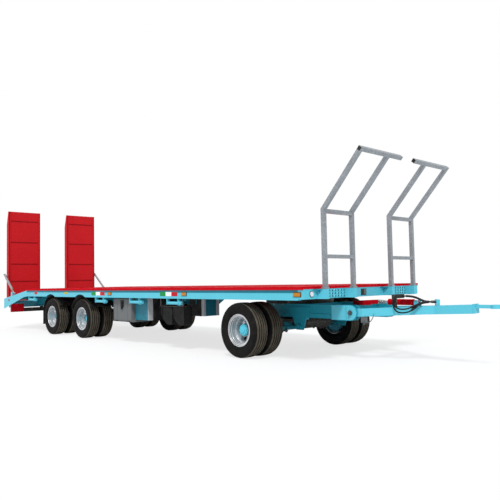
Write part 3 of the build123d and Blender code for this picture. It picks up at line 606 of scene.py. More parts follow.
# Wheel nuts, hub caps with their bolts, and tyre valves; reaches count outwards from the mounting plane
wheelSet = {"mount": 0.995, "nutSeat": 0.0115, "boltSeat": 0.0985, "flange": (0.012, 0.026, 0.094),
            "capFrom": 0.086, "capTo": 0.104, "capLong": {"front": 0.056, "mid": 0.012, "rear": 0.012},
            "capRadius": 0.0805, "capSlope": 0.016, "capTip": 0.064, "cover": (-0.004, 0.012, 0.046, 0.040),
            "nuts": {"Count": 10, "Ring radius": 0.1125, "Nut radius": 0.0165, "Nut height": 0.022,
                     "Stud radius": 0.0105, "Stud height": 0.036, "Finish": plated},
            "hubBolts": {"Count": 8, "Ring radius": 0.0665, "Nut radius": 0.0085, "Nut height": 0.007,
                         "Stud radius": 0.004, "Stud height": 0.008, "Finish": hubPaint}}
valveSet = {"foot": (0.105, 0.118, 0.134), "stem": (0.006, 0.050, 0.004), "cap": (0.008, 0.064, 0.005),
            "stemRadius": 0.006, "capRadius": 0.0075}
# Rim rings: each is its inner and outer radius and its reach from and to
# the dark rings are a dark ring on the inner rim flange and a painted shade line in the corner between the
# rim's lip and its barrel
rimSet = {"segments": 64, "darkRings": ((0.196, 0.2185, -0.2352, -0.2310), (0.1885, 0.1906, 0.2140, 0.2185)),
          "steps": ((0.1835, 0.1912, 0.1870, 0.2000), (0.1790, 0.1880, 0.1225, 0.1330))}


def wheelAt(p, s):
    # the wheel's side and its axle's X and Z
    low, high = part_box(f"rims_{p}_{s}")
    return 1 if s == "left" else -1, (low.x + high.x) / 2, (low.z + high.z) / 2


def onWheel(wheel, reach, x=0.0, z=0.0):
    side, axleX, axleZ = wheel
    return Vector((axleX + x, side * (wheelSet["mount"] + reach), axleZ + z))


def ringBands(wheel, bands):
    work = bmesh.new()
    for inner, outer, near, far in bands:
        rings = []
        for i in range(rimSet["segments"]):
            angle = 2 * math.pi * i / rimSet["segments"]
            corners = ((inner, near), (outer, near), (outer, far), (inner, far))
            rings.append([work.verts.new(onWheel(wheel, reach, r * math.cos(angle), r * math.sin(angle)))
                          for r, reach in corners])
        stitch(work, rings + rings[:1])
    return work


for p, s in wheelPlaces:
    wheel = wheelAt(p, s)
    side, body = wheel[0], f"wheels_{p}_{s}"
    facing = (math.radians(-90 * side), 0, 0)
    capLong = wheelSet["capLong"][p]
    nuts = dict(wheelSet["nuts"], Place=tuple(onWheel(wheel, wheelSet["nutSeat"])), Turn=facing)
    keep(f"wheelNuts_{p}_{s}", grow(f"wheelNuts_{p}_{s}", ringTree, nuts), body)
    boltSeat = onWheel(wheel, wheelSet["boltSeat"] + capLong)
    bolts = dict(wheelSet["hubBolts"], Place=tuple(boltSeat), Turn=facing)
    work = bmesh.new()
    work.from_mesh(grow("hubBolts", ringTree, bolts))
    end = wheelSet["capTo"] + capLong
    slope = end - wheelSet["capSlope"]
    drum(work, onWheel(wheel, wheelSet["capFrom"]), onWheel(wheel, slope), wheelSet["capRadius"], 40)
    drum(work, onWheel(wheel, slope), onWheel(wheel, end), wheelSet["capRadius"], 40, wheelSet["capTip"])
    near, far, radius, tip = wheelSet["cover"]
    drum(work, onWheel(wheel, end + near), onWheel(wheel, end + far), radius, 32, tip)
    near, far, radius = wheelSet["flange"]
    drum(work, onWheel(wheel, near), onWheel(wheel, far), radius, 40)
    add(f"hubTrim_{p}_{s}", work, body, hubPaint, soft=0.0015)
    x, reach, z = valveSet["foot"]
    foot = onWheel(wheel, reach, x, z)
    stem, cap = (foot + Vector((x, side * y, z)) for x, y, z in (valveSet["stem"], valveSet["cap"]))
    work = bmesh.new()
    drum(work, foot, stem, valveSet["stemRadius"], 10)
    drum(work, stem, cap, valveSet["capRadius"], 10)
    add(f"valve_{p}_{s}", work, body, plated)
for p, s in wheelPlaces:
    wheel, body = wheelAt(p, s), f"wheels_{p}_{s}"
    # dark rings in tyre rubber: a painted shade line at the lip's corner and a dark inner flange
    add(f"rimDarkRings_{p}_{s}", ringBands(wheel, rimSet["darkRings"]), body, tyreRubber)
    add(f"rimSteps_{p}_{s}", ringBands(wheel, rimSet["steps"]), body, silverPaint, soft=0.0015)
print("wheels dressed")

# Leaf springs: stepped leaves with U bolts and a clamp plate under the axle
springSet = {"bogie_springs": {"leaves": 5, "thick": 0.0132, "rise": 0.0305, "wide": 0.090, "reach": 0.56,
                               "axles": ("mid", "rear"), "body": "chassis"},
             "dolly_springs": {"leaves": 4, "thick": 0.0100, "rise": 0.0065, "wide": 0.066, "reach": None,
                               "axles": ("front",), "body": "dolly"}}
leafSet = {"shorter": 0.17, "gap": 0.001, "steps": 8}
uBoltSet = {"apart": 0.062, "beside": 0.011, "below": 0.085, "above": 0.012, "radius": 0.009, "nut": 0.016,
            "plateHalf": 0.09, "plateBeside": 0.022, "plateZ": (0.068, 0.0555)}
for name, values in springSet.items():
    low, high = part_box(name)
    y0, y1 = low.y, low.y + values["wide"]
    top = high.z - values["rise"]
    work, bolts = bmesh.new(), bmesh.new()
    for place in values["axles"]:
        side, axleX, axleZ = wheelAt(place, "right")
        reach = values["reach"] or min(high.x - axleX, axleX - low.x)
        for k in range(values["leaves"]):
            leafHalf = reach * (1 - leafSet["shorter"] * k)
            zTop = top - k * values["thick"]
            line = []
            for i in range(-leafSet["steps"], leafSet["steps"] + 1):
                x = leafHalf * i / leafSet["steps"]
                line.append((axleX + x, zTop + values["rise"] * (x / reach) ** 2))
            outline = line + [(x, z - values["thick"] + leafSet["gap"]) for x, z in line[::-1]]
            sheetPiece(work, [(x, y0, z) for x, z in outline], (0, y1 - y0, 0))
        foot, bridge = axleZ - uBoltSet["below"], top + uBoltSet["above"]
        plateLow, plateHigh = (axleZ - z for z in uBoltSet["plateZ"])
        legs = (y0 - uBoltSet["beside"], y1 + uBoltSet["beside"])
        for x in (axleX - uBoltSet["apart"], axleX + uBoltSet["apart"]):
            for y in legs:
                drum(bolts, (x, y, foot), (x, y, bridge), uBoltSet["radius"], 10)
                drum(bolts, (x, y, foot), (x, y, plateLow), uBoltSet["nut"], 6)
            drum(bolts, (x, legs[0], bridge), (x, legs[1], bridge), uBoltSet["radius"], 10)
        slab(bolts, (axleX - uBoltSet["plateHalf"], y0 - uBoltSet["plateBeside"], plateLow),
             (axleX + uBoltSet["plateHalf"], y1 + uBoltSet["plateBeside"], plateHigh))
    mirrored(work)
    mirrored(bolts)
    add(name + "Leaves", work, values["body"], springSteel, soft=0.0012,
        replaced=(name,))
    add(name + "Bolts", bolts, values["body"], blackPaint)
print("springs ready")

# Side lamps, reflective films and, along both rails, a dark teal strip under the deck's lip: a painted shadow
# of the lip
railFace = 1.263  # side rails' outer face from the middle
markSet = {"lampX": (-0.100, -2.377, -4.592), "lampZ": 0.856, "lampHalf": 0.062, "lampHigh": 0.026,
           "lampRim": 0.004, "baseDeep": 0.007, "lensDeep": (0.006, 0.0115), "filmDeep": 0.0024,
           "stripes": ((-3.01, -2.55), (-5.26, -4.77)), "stripeZ": (0.822, 0.886),
           "yellowX": (-6.405, -6.235), "yellowZ": (0.842, 0.880),
           "redX": (-7.86, -7.72), "redZ": (0.832, 0.886),
           "lipShadowX": (-8.30, -0.09), "lipShadowZ": (0.874, 0.911), "lipShadowDeep": 0.0015,
           "tailReflector": (-9.36, 0.690), "reflectorRadius": 0.026, "reflectorDeep": 0.009}


def railSlab(work, side, xs, zs, far, near=0.0):
    slab(work, at(xs[0], side * (railFace + near), zs[0]), at(xs[1], side * (railFace + far), zs[1]))


lampBase, lampLens, lipShadowStrip, tailLens = (bmesh.new() for _ in range(4))
films = {colour: bmesh.new() for colour in filmFinish}
for side in bothSides:
    z, wide, tall = markSet["lampZ"], markSet["lampHalf"], markSet["lampHigh"]
    for x in markSet["lampX"]:
        rimWide, rimTall = wide + markSet["lampRim"], tall + markSet["lampRim"]
        railSlab(lampBase, side, (x - rimWide, x + rimWide), (z - rimTall, z + rimTall), markSet["baseDeep"])
        near, far = markSet["lensDeep"]
        railSlab(lampLens, side, (x - wide, x + wide), (z - tall, z + tall), far, near)
    for x0, x1 in markSet["stripes"]:
        step = (x1 - x0) / 3
        for k, colour in enumerate(("green", "white", "red")):
            ends = (x0 + k * step, x0 + (k + 1) * step)
            railSlab(films[colour], side, ends, markSet["stripeZ"], markSet["filmDeep"])
    for colour in ("yellow", "red"):
        railSlab(films[colour], side, markSet[colour + "X"], markSet[colour + "Z"], markSet["filmDeep"])
    x, z = markSet["tailReflector"]
    spot = at(x, side * railFace, z)
    outer = spot + Vector((0, side * markSet["reflectorDeep"], 0))
    drum(tailLens, spot, outer, markSet["reflectorRadius"], 28)
    railSlab(lipShadowStrip, side, markSet["lipShadowX"], markSet["lipShadowZ"], markSet["lipShadowDeep"])
add("sideLampBases", lampBase, "chassis", blackPlastic, soft=0.003)
add("sideLampLenses", lampLens, "chassis", amberLens, soft=0.003)
add("tailSideReflectors", tailLens, "chassis", redLens, soft=0.002)
# the dark teal strip just under the deck's red lip is a painted shadow
add("railLipShadowStrip", lipShadowStrip, "chassis", tealPaint)
for colour, finish in filmFinish.items():
    add(colour + "RailFilm", films[colour], "chassis", finish)
print("rail marks ready")

# Front beam: perforated tread plates between the ladder posts, gussets, a blank plate and white reflectors
frontSet = {"treadY": (0.475, 0.930), "treadZ": (0.806, 0.912), "treadThick": 0.004,
            "holesLong": 8, "holesHigh": 3, "fieldLess": (0.050, 0.034),
            "dimple": (0.0215, 0.0150, 0.010), "hole": (0.0190, 0.0125, 0.0112),
            "reflectorY": 1.115, "reflectorZ": 0.858,
            "lens": (0.010, 0.034, 0.030), "lensRim": (0.005, 0.039),
            "plateY": (-0.130, -0.012), "plateZ": (0.815, 0.900), "plateThick": 0.003,
            "panelY": (-0.062, -0.020), "panelZ": (0.824, 0.892), "panelThick": 0.0038}
# Gussets stand outside the outer posts and inside the inner ones
gussetSet = {"posts": ((0.980, 1), (0.425, -1)), "postHalf": 0.033,
             "top": 0.914, "long": 0.085, "thick": 0.008,
             "webX": 0.040, "webTop": 0.906, "webLow": 0.867, "webLong": 0.045}
lipSet = {"z": (0.920, 0.9495), "half": 1.2745, "thick": 0.0035,
          "shoeX": (0.003, 0.072), "shoeHalf": 0.0345, "shoeTop": 0.9415,
          "footX": (0.0705, 0.1395), "footHalf": 0.0352, "footLow": 0.918, "footTop": 0.9425}
treads, holes, gussets, plates, clear, lip, feet, panel = (bmesh.new() for _ in range(8))
facingFront = (math.radians(90), 0, math.radians(90))
for side in bothSides:
    y0, y1 = (side * v for v in frontSet["treadY"])
    z0, z1 = frontSet["treadZ"]
    slab(treads, at(0, y0, z0), at(frontSet["treadThick"], y1, z1))
    field = {"Long": abs(y1 - y0) - frontSet["fieldLess"][0], "Wide": z1 - z0 - frontSet["fieldLess"][1],
             "Count long": frontSet["holesLong"], "Count wide": frontSet["holesHigh"],
             "Place": tuple(at(frontSet["treadThick"], (y0 + y1) / 2, (z0 + z1) / 2)),
             "Turn": facingFront, "Finish": skyPaint}
    for work, label in ((treads, "dimple"), (holes, "hole")):
        work.from_mesh(grow(label + "Field", fieldTree, dict(field, **{"Stud size": frontSet[label]})))
    for post, way in gussetSet["posts"]:
        edge = side * (post + way * gussetSet["postHalf"])
        tip, webTip = (edge + side * way * gussetSet[k] for k in ("long", "webLong"))
        top, x, webTop = gussetSet["top"], gussetSet["webX"], gussetSet["webTop"]
        sheetPiece(gussets, [at(0, edge, top), at(0, tip, top), at(gussetSet["long"], edge, top)],
                   (0, 0, -gussetSet["thick"]))
        sheetPiece(gussets, [at(x, edge, webTop), at(x, webTip, webTop), at(x, edge, gussetSet["webLow"])],
                   (gussetSet["thick"], 0, 0))
    spot = at(0, side * frontSet["reflectorY"], frontSet["reflectorZ"])
    deep, radius, tip = frontSet["lens"]
    drum(clear, spot, spot + Vector((deep, 0, 0)), radius, 32, tip)
    deep, radius = frontSet["lensRim"]
    drum(plates, spot, spot + Vector((deep, 0, 0)), radius, 32)
(y0, y1), (z0, z1) = frontSet["plateY"], frontSet["plateZ"]
slab(plates, at(0, y0, z0), at(frontSet["plateThick"], y1, z1))
(y0, y1), (z0, z1) = frontSet["panelY"], frontSet["panelZ"]
slab(panel, at(frontSet["plateThick"], y0, z0), at(frontSet["panelThick"], y1, z1))
low, high = lipSet["z"]
slab(lip, at(0, -lipSet["half"], low), at(lipSet["thick"], lipSet["half"], high))
for y in (side * post for side in bothSides for post, way in gussetSet["posts"][::-1]):
    x0, x1 = lipSet["shoeX"]
    slab(lip, at(x0, y - lipSet["shoeHalf"], low), at(x1, y + lipSet["shoeHalf"], lipSet["shoeTop"]))
    x0, x1 = lipSet["footX"]
    slab(feet, at(x0, y - lipSet["footHalf"], lipSet["footLow"]),
         at(x1, y + lipSet["footHalf"], lipSet["footTop"]))
add("deckFrontLip", lip, "chassis", deckPaint)
add("ladderFeet", feet, "chassis", zinc, soft=0.002)
add("frontTreadPlates", treads, "chassis", skyPaint)
add("frontTreadHoles", holes, "chassis", holeShade)
# the gussets take the shaded copy of the sky-blue enamel: painted shade
add("ladderGussets", gussets, "chassis", skyUnderShaded, soft=0.0015)
add("frontPlates", plates, "chassis", filmDark, soft=0.001)
add("frontReflectors", clear, "chassis", whiteLens, soft=0.002)
add("frontPlatePanel", panel, "chassis", greyPlastic)
print("front beam dressed")

# Ladders: black plugs in both ends of each top bar
plugSet = {"tip": (0.680, 2.530), "lean": math.atan2(0.575, 0.645), "ends": ((0.148, -1), (1.005, 1)),
           "wide": 0.047, "thick": 0.004}
work = bmesh.new()
for side in bothSides:
    for end, way in plugSet["ends"]:
        spot = at(plugSet["tip"][0], side * (end + way * plugSet["thick"] / 2), plugSet["tip"][1])
        size = Matrix.Diagonal((plugSet["wide"], plugSet["thick"], plugSet["wide"], 1))
        lean = Matrix.Rotation(plugSet["lean"], 4, "Y")
        bmesh.ops.create_cube(work, size=1, matrix=Matrix.Translation(spot) @ lean @ size)
add("ladderEndPlugs", work, "chassis", blackPlastic, soft=0.001)
print("ladders plugged")

# Deck: low weld beads where the floor plates meet
seamSet = {"plateLong": 1.25, "plates": 6, "half": 0.004, "z": (0.9490, 0.9512),
           "across": 1.250, "along": (-8.300, -0.012)}
work = bmesh.new()
low, high = seamSet["z"]
for k in range(1, seamSet["plates"] + 1):
    x = -seamSet["plateLong"] * k
    slab(work, at(x - seamSet["half"], -seamSet["across"], low),
         at(x + seamSet["half"], seamSet["across"], high))
x0, x1 = seamSet["along"]
slab(work, at(x0, -seamSet["half"], low), at(x1, seamSet["half"], high))
add("deckWeldBeads", work, "chassis", seamRedAndShade)
print("deck seams ready")

# Toolbox: lid with a raised frame and two ribs, a latch and two hinges
toolboxSet = {"frameX": 0.020, "frameZ": 0.022, "bar": 0.012, "barOut": 0.004, "sunk": 0.002,
              "ribX": 0.17, "ribHalf": 0.004, "ribOut": 0.003, "ribZ": 0.05,
              "latch": (0.045, 0.016, 0.0, 0.145, 0.030), "handle": (0.020, 0.026, 0.010, 0.190, 0.060),
              "hingeX": 0.12, "hingeHalf": 0.04, "hingeZ": 0.012, "hingeOut": 0.002, "hingeRadius": 0.009}
boxLow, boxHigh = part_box("toolbox")
lidFace, mid = boxLow.y, (boxLow.x + boxHigh.x) / 2
lidX = (boxLow.x + toolboxSet["frameX"], boxHigh.x - toolboxSet["frameX"])
lidZ = (boxLow.z + toolboxSet["frameZ"], boxHigh.z - toolboxSet["frameZ"])
bar, ribHalf = toolboxSet["bar"], toolboxSet["ribHalf"]
inside = lidFace + toolboxSet["sunk"]
work, dark = bmesh.new(), bmesh.new()
for z in (lidZ[0], lidZ[1] - bar):
    slab(work, (lidX[0], lidFace - toolboxSet["barOut"], z), (lidX[1], inside, z + bar))
for x in (lidX[0], lidX[1] - bar):
    slab(work, (x, lidFace - toolboxSet["barOut"], lidZ[0]), (x + bar, inside, lidZ[1]))
for x in (mid - toolboxSet["ribX"], mid + toolboxSet["ribX"]):
    slab(work, (x - ribHalf, lidFace - toolboxSet["ribOut"], boxLow.z + toolboxSet["ribZ"]),
         (x + ribHalf, inside, boxHigh.z - toolboxSet["ribZ"]))
for half, far, near, low, high in (toolboxSet["latch"], toolboxSet["handle"]):
    slab(dark, (mid - half, lidFace - far, boxHigh.z - low), (mid + half, lidFace - near, boxHigh.z - high))
y, z = lidFace - toolboxSet["hingeOut"], boxLow.z + toolboxSet["hingeZ"]
for x in (boxLow.x + toolboxSet["hingeX"], boxHigh.x - toolboxSet["hingeX"]):
    drum(dark, (x - toolboxSet["hingeHalf"], y, z), (x + toolboxSet["hingeHalf"], y, z),
         toolboxSet["hingeRadius"], 14)
add("toolboxLidFrame", work, "chassis", greyPlastic, soft=0.002)
add("toolboxLatch", dark, "chassis", blackPlastic, soft=0.004)

# Lockers: zinc angles on the front corners, a door on the deep one, black sheets and a catch each; the deep
# one's black sheet over its open front is painted shade
lockerSet = {"boxes": ({"low": (-3.975, -1.120, 0.410), "high": (-3.575, -0.600, 0.780),
                        "sideLeg": 0.008, "frontLeg": 0.092, "door": True},
                       {"low": (-2.800, -0.850, 0.500), "high": (-2.425, -0.550, 0.780),
                        "sideLeg": 0.062, "frontLeg": 0.032, "door": False}),
             "leg": 0.062, "thick": 0.003, "doorIn": (0.012, 0.020, 0.030, 0.020), "doorY": (0.0025, 0.001),
             "sheetOver": 0.002, "sheetFront": 0.006, "sheetIn": 0.004, "sheetOut": 0.006,
             "catchHalf": 0.012, "catchOut": 0.014, "catchZ": (0.10, 0.03)}
angles, doors, darkSheets = bmesh.new(), bmesh.new(), bmesh.new()
thick, overlap = lockerSet["thick"], lockerSet["sheetOver"]
for box in lockerSet["boxes"]:
    (x0, y0, z0), (x1, y1, z1) = box["low"], box["high"]
    slab(angles, at(x1 - box["sideLeg"], y0 - thick, z0), at(x1 + thick, y0, z1))
    slab(angles, at(x1, y0, z0), at(x1 + thick, y0 + box["frontLeg"], z1))
    slab(angles, at(x1, y1 - lockerSet["leg"], z0), at(x1 + thick, y1, z1))
    if box["door"]:
        rear, front, low, high = lockerSet["doorIn"]
        out, sunk = lockerSet["doorY"]
        slab(doors, at(x0 + rear, y0 - out, z0 + low), at(x1 - front, y0 + sunk, z1 - high))
        # black sheet over the deep locker's open front: painted shade
        slab(darkSheets, at(x1 - overlap, y0 + box["frontLeg"] + overlap, z0 - overlap),
             at(x1 + lockerSet["sheetFront"], y1 + overlap, z1))
    else:
        slab(darkSheets, at(x0 + lockerSet["sheetIn"], y0 - lockerSet["sheetOut"], z0 - overlap),
             at(x1 - box["sideLeg"] - lockerSet["sheetIn"], y0 + overlap, z1))
    mid, (low, high) = (x0 + x1) / 2, lockerSet["catchZ"]
    slab(doors, at(mid - lockerSet["catchHalf"], y0 - lockerSet["catchOut"], z1 - low),
         at(mid + lockerSet["catchHalf"], y0, z1 - high))
add("lockerAngles", angles, "chassis", angleZincLit)
add("lockerDoors", doors, "chassis", tealPaint, soft=0.001)
add("lockerDarkSheets", darkSheets, "chassis", blackPlastic, soft=0.001)

# Wheel chocks: ribs down the curved face, side frames, and a carrier plate on two hangers
chockSet = {"apart": 0.310, "ribs": 6, "ribFrom": 0.010, "ribStep": 0.026, "ribLong": 0.016, "ribIn": 0.012,
            "ribTop": 0.140, "ribFall": 0.032, "ribCurve": 0.0016, "ribZ": (0.014, 0.012),
            "frameOut": 0.004, "frameHalf": 0.003,
            "bars": ((0.020, 0.250, 0.020, 0.008), (0.020, 0.034, 0.140, 0.020),
                     (0.100, 0.200, 0.100, 0.088)),
            "hangerApart": 0.590, "hangerHalf": 0.0115, "hangerIn": 0.0015, "hangerTop": 0.784,
            "plateZ": (0.001, 0.0075)}
work = bmesh.new()
chockLow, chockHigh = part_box("wheel_chocks")
for start in (chockLow.x, chockLow.x + chockSet["apart"]):
    for k in range(chockSet["ribs"]):
        x = start + chockSet["ribFrom"] + k * chockSet["ribStep"]
        z = chockHigh.z - chockSet["ribTop"] - k * chockSet["ribFall"] + k * k * chockSet["ribCurve"]
        slab(work, (x, chockLow.y + chockSet["ribIn"], z - chockSet["ribZ"][0]),
             (x + chockSet["ribLong"], chockHigh.y - chockSet["ribIn"], z + chockSet["ribZ"][1]))
    for y in (chockLow.y - chockSet["frameOut"], chockHigh.y + chockSet["frameOut"]):
        for x0, x1, low, high in chockSet["bars"]:
            slab(work, (start + x0, y - chockSet["frameHalf"], chockHigh.z - low),
                 (start + x1, y + chockSet["frameHalf"], chockHigh.z - high))
add("chockRibs", work, "chassis", chockPlastic, soft=0.002)
work = bmesh.new()
half = chockSet["hangerHalf"]
for x in (chockLow.x, chockLow.x + chockSet["hangerApart"]):
    slab(work, (x - half, chockLow.y - half, chockHigh.z),
         (x + half, chockLow.y + chockSet["hangerIn"], chockSet["hangerTop"]))
low, high = chockSet["plateZ"]
slab(work, (chockLow.x - half, chockLow.y - half, chockHigh.z - low),
     (chockLow.x + chockSet["hangerApart"] + half, chockHigh.y + half, chockHigh.z + high))
add("chockCarrierSleeves", work, "chassis", blackPaint, soft=0.001)
print("boxes and chocks dressed")

# Tail: lamp lenses, white markers, a blank plate and two triangle reflectors
tailSet = {"boardY": (0.900, 1.200), "lensZ": (0.425, 0.565), "lensX": (0.016, 0.002), "caseIn": 0.012,
           "caseX": (0.004, 0.002), "red": (0.120, 0.280), "amber": (0.066, 0.116), "pale": (0.020, 0.062),
           "markerX": (0.002, 0.032), "markerZ": (0.410, 0.580), "markerThick": 0.004,
           "triangle": ((0.62, 0.415), (0.76, 0.415), (0.69, 0.482)), "triangleThick": 0.008,
           "plateHalf": 0.26, "plateZ": (0.405, 0.485), "plateThick": 0.004}
lenses = {"red": bmesh.new(), "amber": bmesh.new(), "pale": bmesh.new()}
case = bmesh.new()
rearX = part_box("rear_lamps")[0].x
z0, z1 = tailSet["lensZ"]
far, near = (rearX - x for x in tailSet["lensX"])
for side in bothSides:
    y0, y1 = (side * v for v in tailSet["boardY"])
    edge = tailSet["caseIn"]
    slab(case, (rearX - tailSet["caseX"][0], y0 + side * edge, z0 - edge),
         (rearX + tailSet["caseX"][1], y1 - side * edge, z1 + edge))
    for colour, work in lenses.items():
        inner, outer = tailSet[colour]
        slab(work, (far, y0 + side * inner, z0), (near, y0 + side * outer, z1))
    (x0, x1), (low, high) = tailSet["markerX"], tailSet["markerZ"]
    slab(lenses["pale"], (rearX + x0, y1, low), (rearX + x1, y1 + side * tailSet["markerThick"], high))
    sheetPiece(lenses["red"], [(near, side * y, z) for y, z in tailSet["triangle"]],
               (-tailSet["triangleThick"], 0, 0))
low, high = tailSet["plateZ"]
slab(lenses["pale"], (rearX - tailSet["plateThick"], -tailSet["plateHalf"], low),
     (rearX, tailSet["plateHalf"], high))
add("rearLampCases", case, "chassis", blackPlastic, soft=0.002)
add("rearRedLenses", lenses["red"], "chassis", redLens, soft=0.003)
add("rearAmberLenses", lenses["amber"], "chassis", amberLens, soft=0.003)
add("rearPaleLenses", lenses["pale"], "chassis", whiteLens, soft=0.002)
print("tail dressed")

# Ramps: cross seams and edge strips in darker red, which is painted shade, two long cleats and raised
# lozenges on the driving face
rampSet = {"y": (0.357, 1.141), "panelBack": 0.010, "sunk": 0.001, "seams": (1.132, 1.557, 2.095, 2.617),
           "seamHigh": 0.024, "seamIn": 0.046, "seamOut": 0.004, "edgeWide": 0.024, "edgeOut": 0.0015,
           "edgeZ": (0.06, 0.01), "cleatIn": 0.05, "cleatHalf": 0.004, "cleatOut": 0.006,
           "cleatZ": (0.10, 0.03),
           "field": {"Long": 0.62, "Wide": 2.06, "Count long": 9, "Count wide": 30,
                     "Stud size": (0.019, 0.0055, 0.0035), "Turn": facingFront, "Finish": rampPaint},
           "fieldZ": 1.775}
# Struts: a gland at the barrel's mouth and bands along it, counted from the ramp's lug as (from, to, radius)
strutSet = {"y": 1.2, "lug": (-9.785, 1.270), "foot": (-9.200, 0.845),
            "gland": ((0.560, 0.600, 0.0285), (0.600, 0.618, 0.022)),
            "bands": ((-0.055, -0.043, 0.0268), (0.120, 0.132, 0.0268), (0.535, 0.547, 0.0268))}
for s, side in (("right", -1), ("left", 1)):
    low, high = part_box(f"ramp_{s}")
    y0, y1 = (side * y for y in rampSet["y"])
    panel, back = high.x - rampSet["panelBack"], high.x - rampSet["panelBack"] - rampSet["sunk"]
    grip, seams = bmesh.new(), bmesh.new()
    half, inward = rampSet["seamHigh"] / 2, side * rampSet["seamIn"]
    for z in rampSet["seams"]:
        slab(seams, (back, y0 + inward, z - half), (panel + rampSet["seamOut"], y1 - inward, z + half))
    for y, way in ((y0, side), (y1, -side)):
        slab(seams, (high.x - rampSet["sunk"], y, low.z + rampSet["edgeZ"][0]),
             (high.x + rampSet["edgeOut"], y + way * rampSet["edgeWide"], high.z - rampSet["edgeZ"][1]))
    # cross seams and edge strips in darker red: painted shade
    add(f"rampShadeStrips_{s}", seams, f"ramp_{s}", seamRedAndShade)
    half, inward = rampSet["cleatHalf"], side * rampSet["cleatIn"]
    for y in (y0 + inward, y1 - inward):
        slab(grip, (back, y - half, low.z + rampSet["cleatZ"][0]),
             (panel + rampSet["cleatOut"], y + half, high.z - rampSet["cleatZ"][1]))
    field = dict(rampSet["field"], Place=(panel, (y0 + y1) / 2, rampSet["fieldZ"]))
    grip.from_mesh(grow("rampLozenges", fieldTree, field))
    add(f"rampGrip_{s}", grip, f"ramp_{s}", rampPaint)
    lug, foot = (at(x, side * strutSet["y"], z) for x, z in (strutSet["lug"], strutSet["foot"]))
    along = (foot - lug).normalized()
    gland, bands = bmesh.new(), bmesh.new()
    for work, label in ((gland, "gland"), (bands, "bands")):
        for a, b, radius in strutSet[label]:
            drum(work, lug + along * a, lug + along * b, radius, 28)
    add(f"strutGland_{s}", gland, f"strut_barrel_{s}", brass, soft=0.002)
    add(f"strutBands_{s}", bands, f"strut_barrel_{s}", barrelPaint, soft=0.001)
print("ramps dressed")

# Dolly: side flanges, hinge cheeks and bolts, and the turntable's bolts
dollySet = {"flangeY": (0.450, 0.458), "flangeZ": (0.515, 0.575),
            "flangesX": ((-1.845, -1.005), (-0.610, -0.255)),
            "stopX": (-0.006, 0.000), "stopY": (0.452, 0.456), "stopZ": (0.508, 0.692),
            "hinge": (0.065, 0.462, 0.600),
            "boltDrums": ((0.0, 0.006, 0.032, 28), (0.006, 0.026, 0.023, 6), (0.020, 0.034, 0.016, 16)),
            "cheek": [(-0.240, 0.506), (0.060, 0.506), (0.098, 0.513), (0.131, 0.534), (0.152, 0.566),
                      (0.158, 0.600), (0.152, 0.634), (0.131, 0.666), (0.098, 0.687), (0.060, 0.694),
                      (-0.240, 0.694)],
            "cheekY": 0.4505, "cheekThick": 0.0035,
            "ringBolts": {"Count": 16, "Ring radius": 0.465, "Nut radius": 0.015, "Nut height": 0.012,
                          "Stud radius": 0.008, "Stud height": 0.018, "Place": tuple(at(-1.208, 0, 0.7)),
                          "Turn": (math.pi, 0, math.radians(11.25)), "Finish": plated}}
flanges, bolts, cheeks = bmesh.new(), bmesh.new(), bmesh.new()
for side in bothSides:
    (y0, y1), (z0, z1) = dollySet["flangeY"], dollySet["flangeZ"]
    for x0, x1 in dollySet["flangesX"]:
        slab(flanges, at(x0, side * y0, z0), at(x1, side * y1, z1))
    (x0, x1), (y0, y1), (z0, z1) = dollySet["stopX"], dollySet["stopY"], dollySet["stopZ"]
    slab(flanges, at(x0, side * y0, z0), at(x1, side * y1, z1))
    x, y, z = dollySet["hinge"]
    hinge, out = at(x, side * y, z), Vector((0, side, 0))
    for a, b, radius, sides in dollySet["boltDrums"]:
        drum(bolts, hinge + out * a, hinge + out * b, radius, sides)
    sheetPiece(cheeks, [at(x, side * dollySet["cheekY"], z) for x, z in dollySet["cheek"]],
               (0, side * dollySet["cheekThick"], 0))
add("hingeCheekPlates", cheeks, "dolly", skyPaint)
add("dollyFlanges", flanges, "dolly", skyUnderShaded, soft=0.0015)
add("dollyHingeBolts", bolts, "dolly", springSteel, soft=0.001)
keep("turntableBolts", grow("turntableBolts", ringTree, dollySet["ringBolts"]), "dolly")

# Brake chambers: can, clamp ring, push rod, lever, bracket and cam shaft beside each axle
brakeSet = {"y": 0.632, "z": 0.4435, "front": (-1.208,), "rear": (-5.730, -7.050),
            "drums": ((0.085, 0.150, 0.068, 28, 0.078), (0.150, 0.164, 0.086, 28, None),
                      (0.164, 0.225, 0.078, 28, 0.060), (-0.040, 0.090, 0.010, 12, None)),
            "slabs": (((-0.075, -0.018, -0.085), (-0.030, 0.018, 0.030)),
                      ((0.050, -0.050, -0.110), (0.086, 0.050, 0.050))),
            "camX": 0.055, "camY": (0.600, 0.800), "camZ": 0.3735, "camRadius": 0.017}


def brakeCans(places):
    work = bmesh.new()
    for side, x in ((side, x) for side in bothSides for x in places):
        spot = at(x, side * brakeSet["y"], brakeSet["z"])
        for a, b, radius, sides, tip in brakeSet["drums"]:
            drum(work, spot + Vector((a, 0, 0)), spot + Vector((b, 0, 0)), radius, sides, tip)
        for a, b in brakeSet["slabs"]:
            slab(work, spot + Vector(a), spot + Vector(b))
        cam = [at(x - brakeSet["camX"], side * y, brakeSet["camZ"]) for y in brakeSet["camY"]]
        drum(work, *cam, brakeSet["camRadius"], 14)
    return work


add("frontBrakeChambers", brakeCans(brakeSet["front"]), "dolly", blackPaint, soft=0.002)
add("rearBrakeChambers", brakeCans(brakeSet["rear"]), "chassis", blackPaint, soft=0.002)

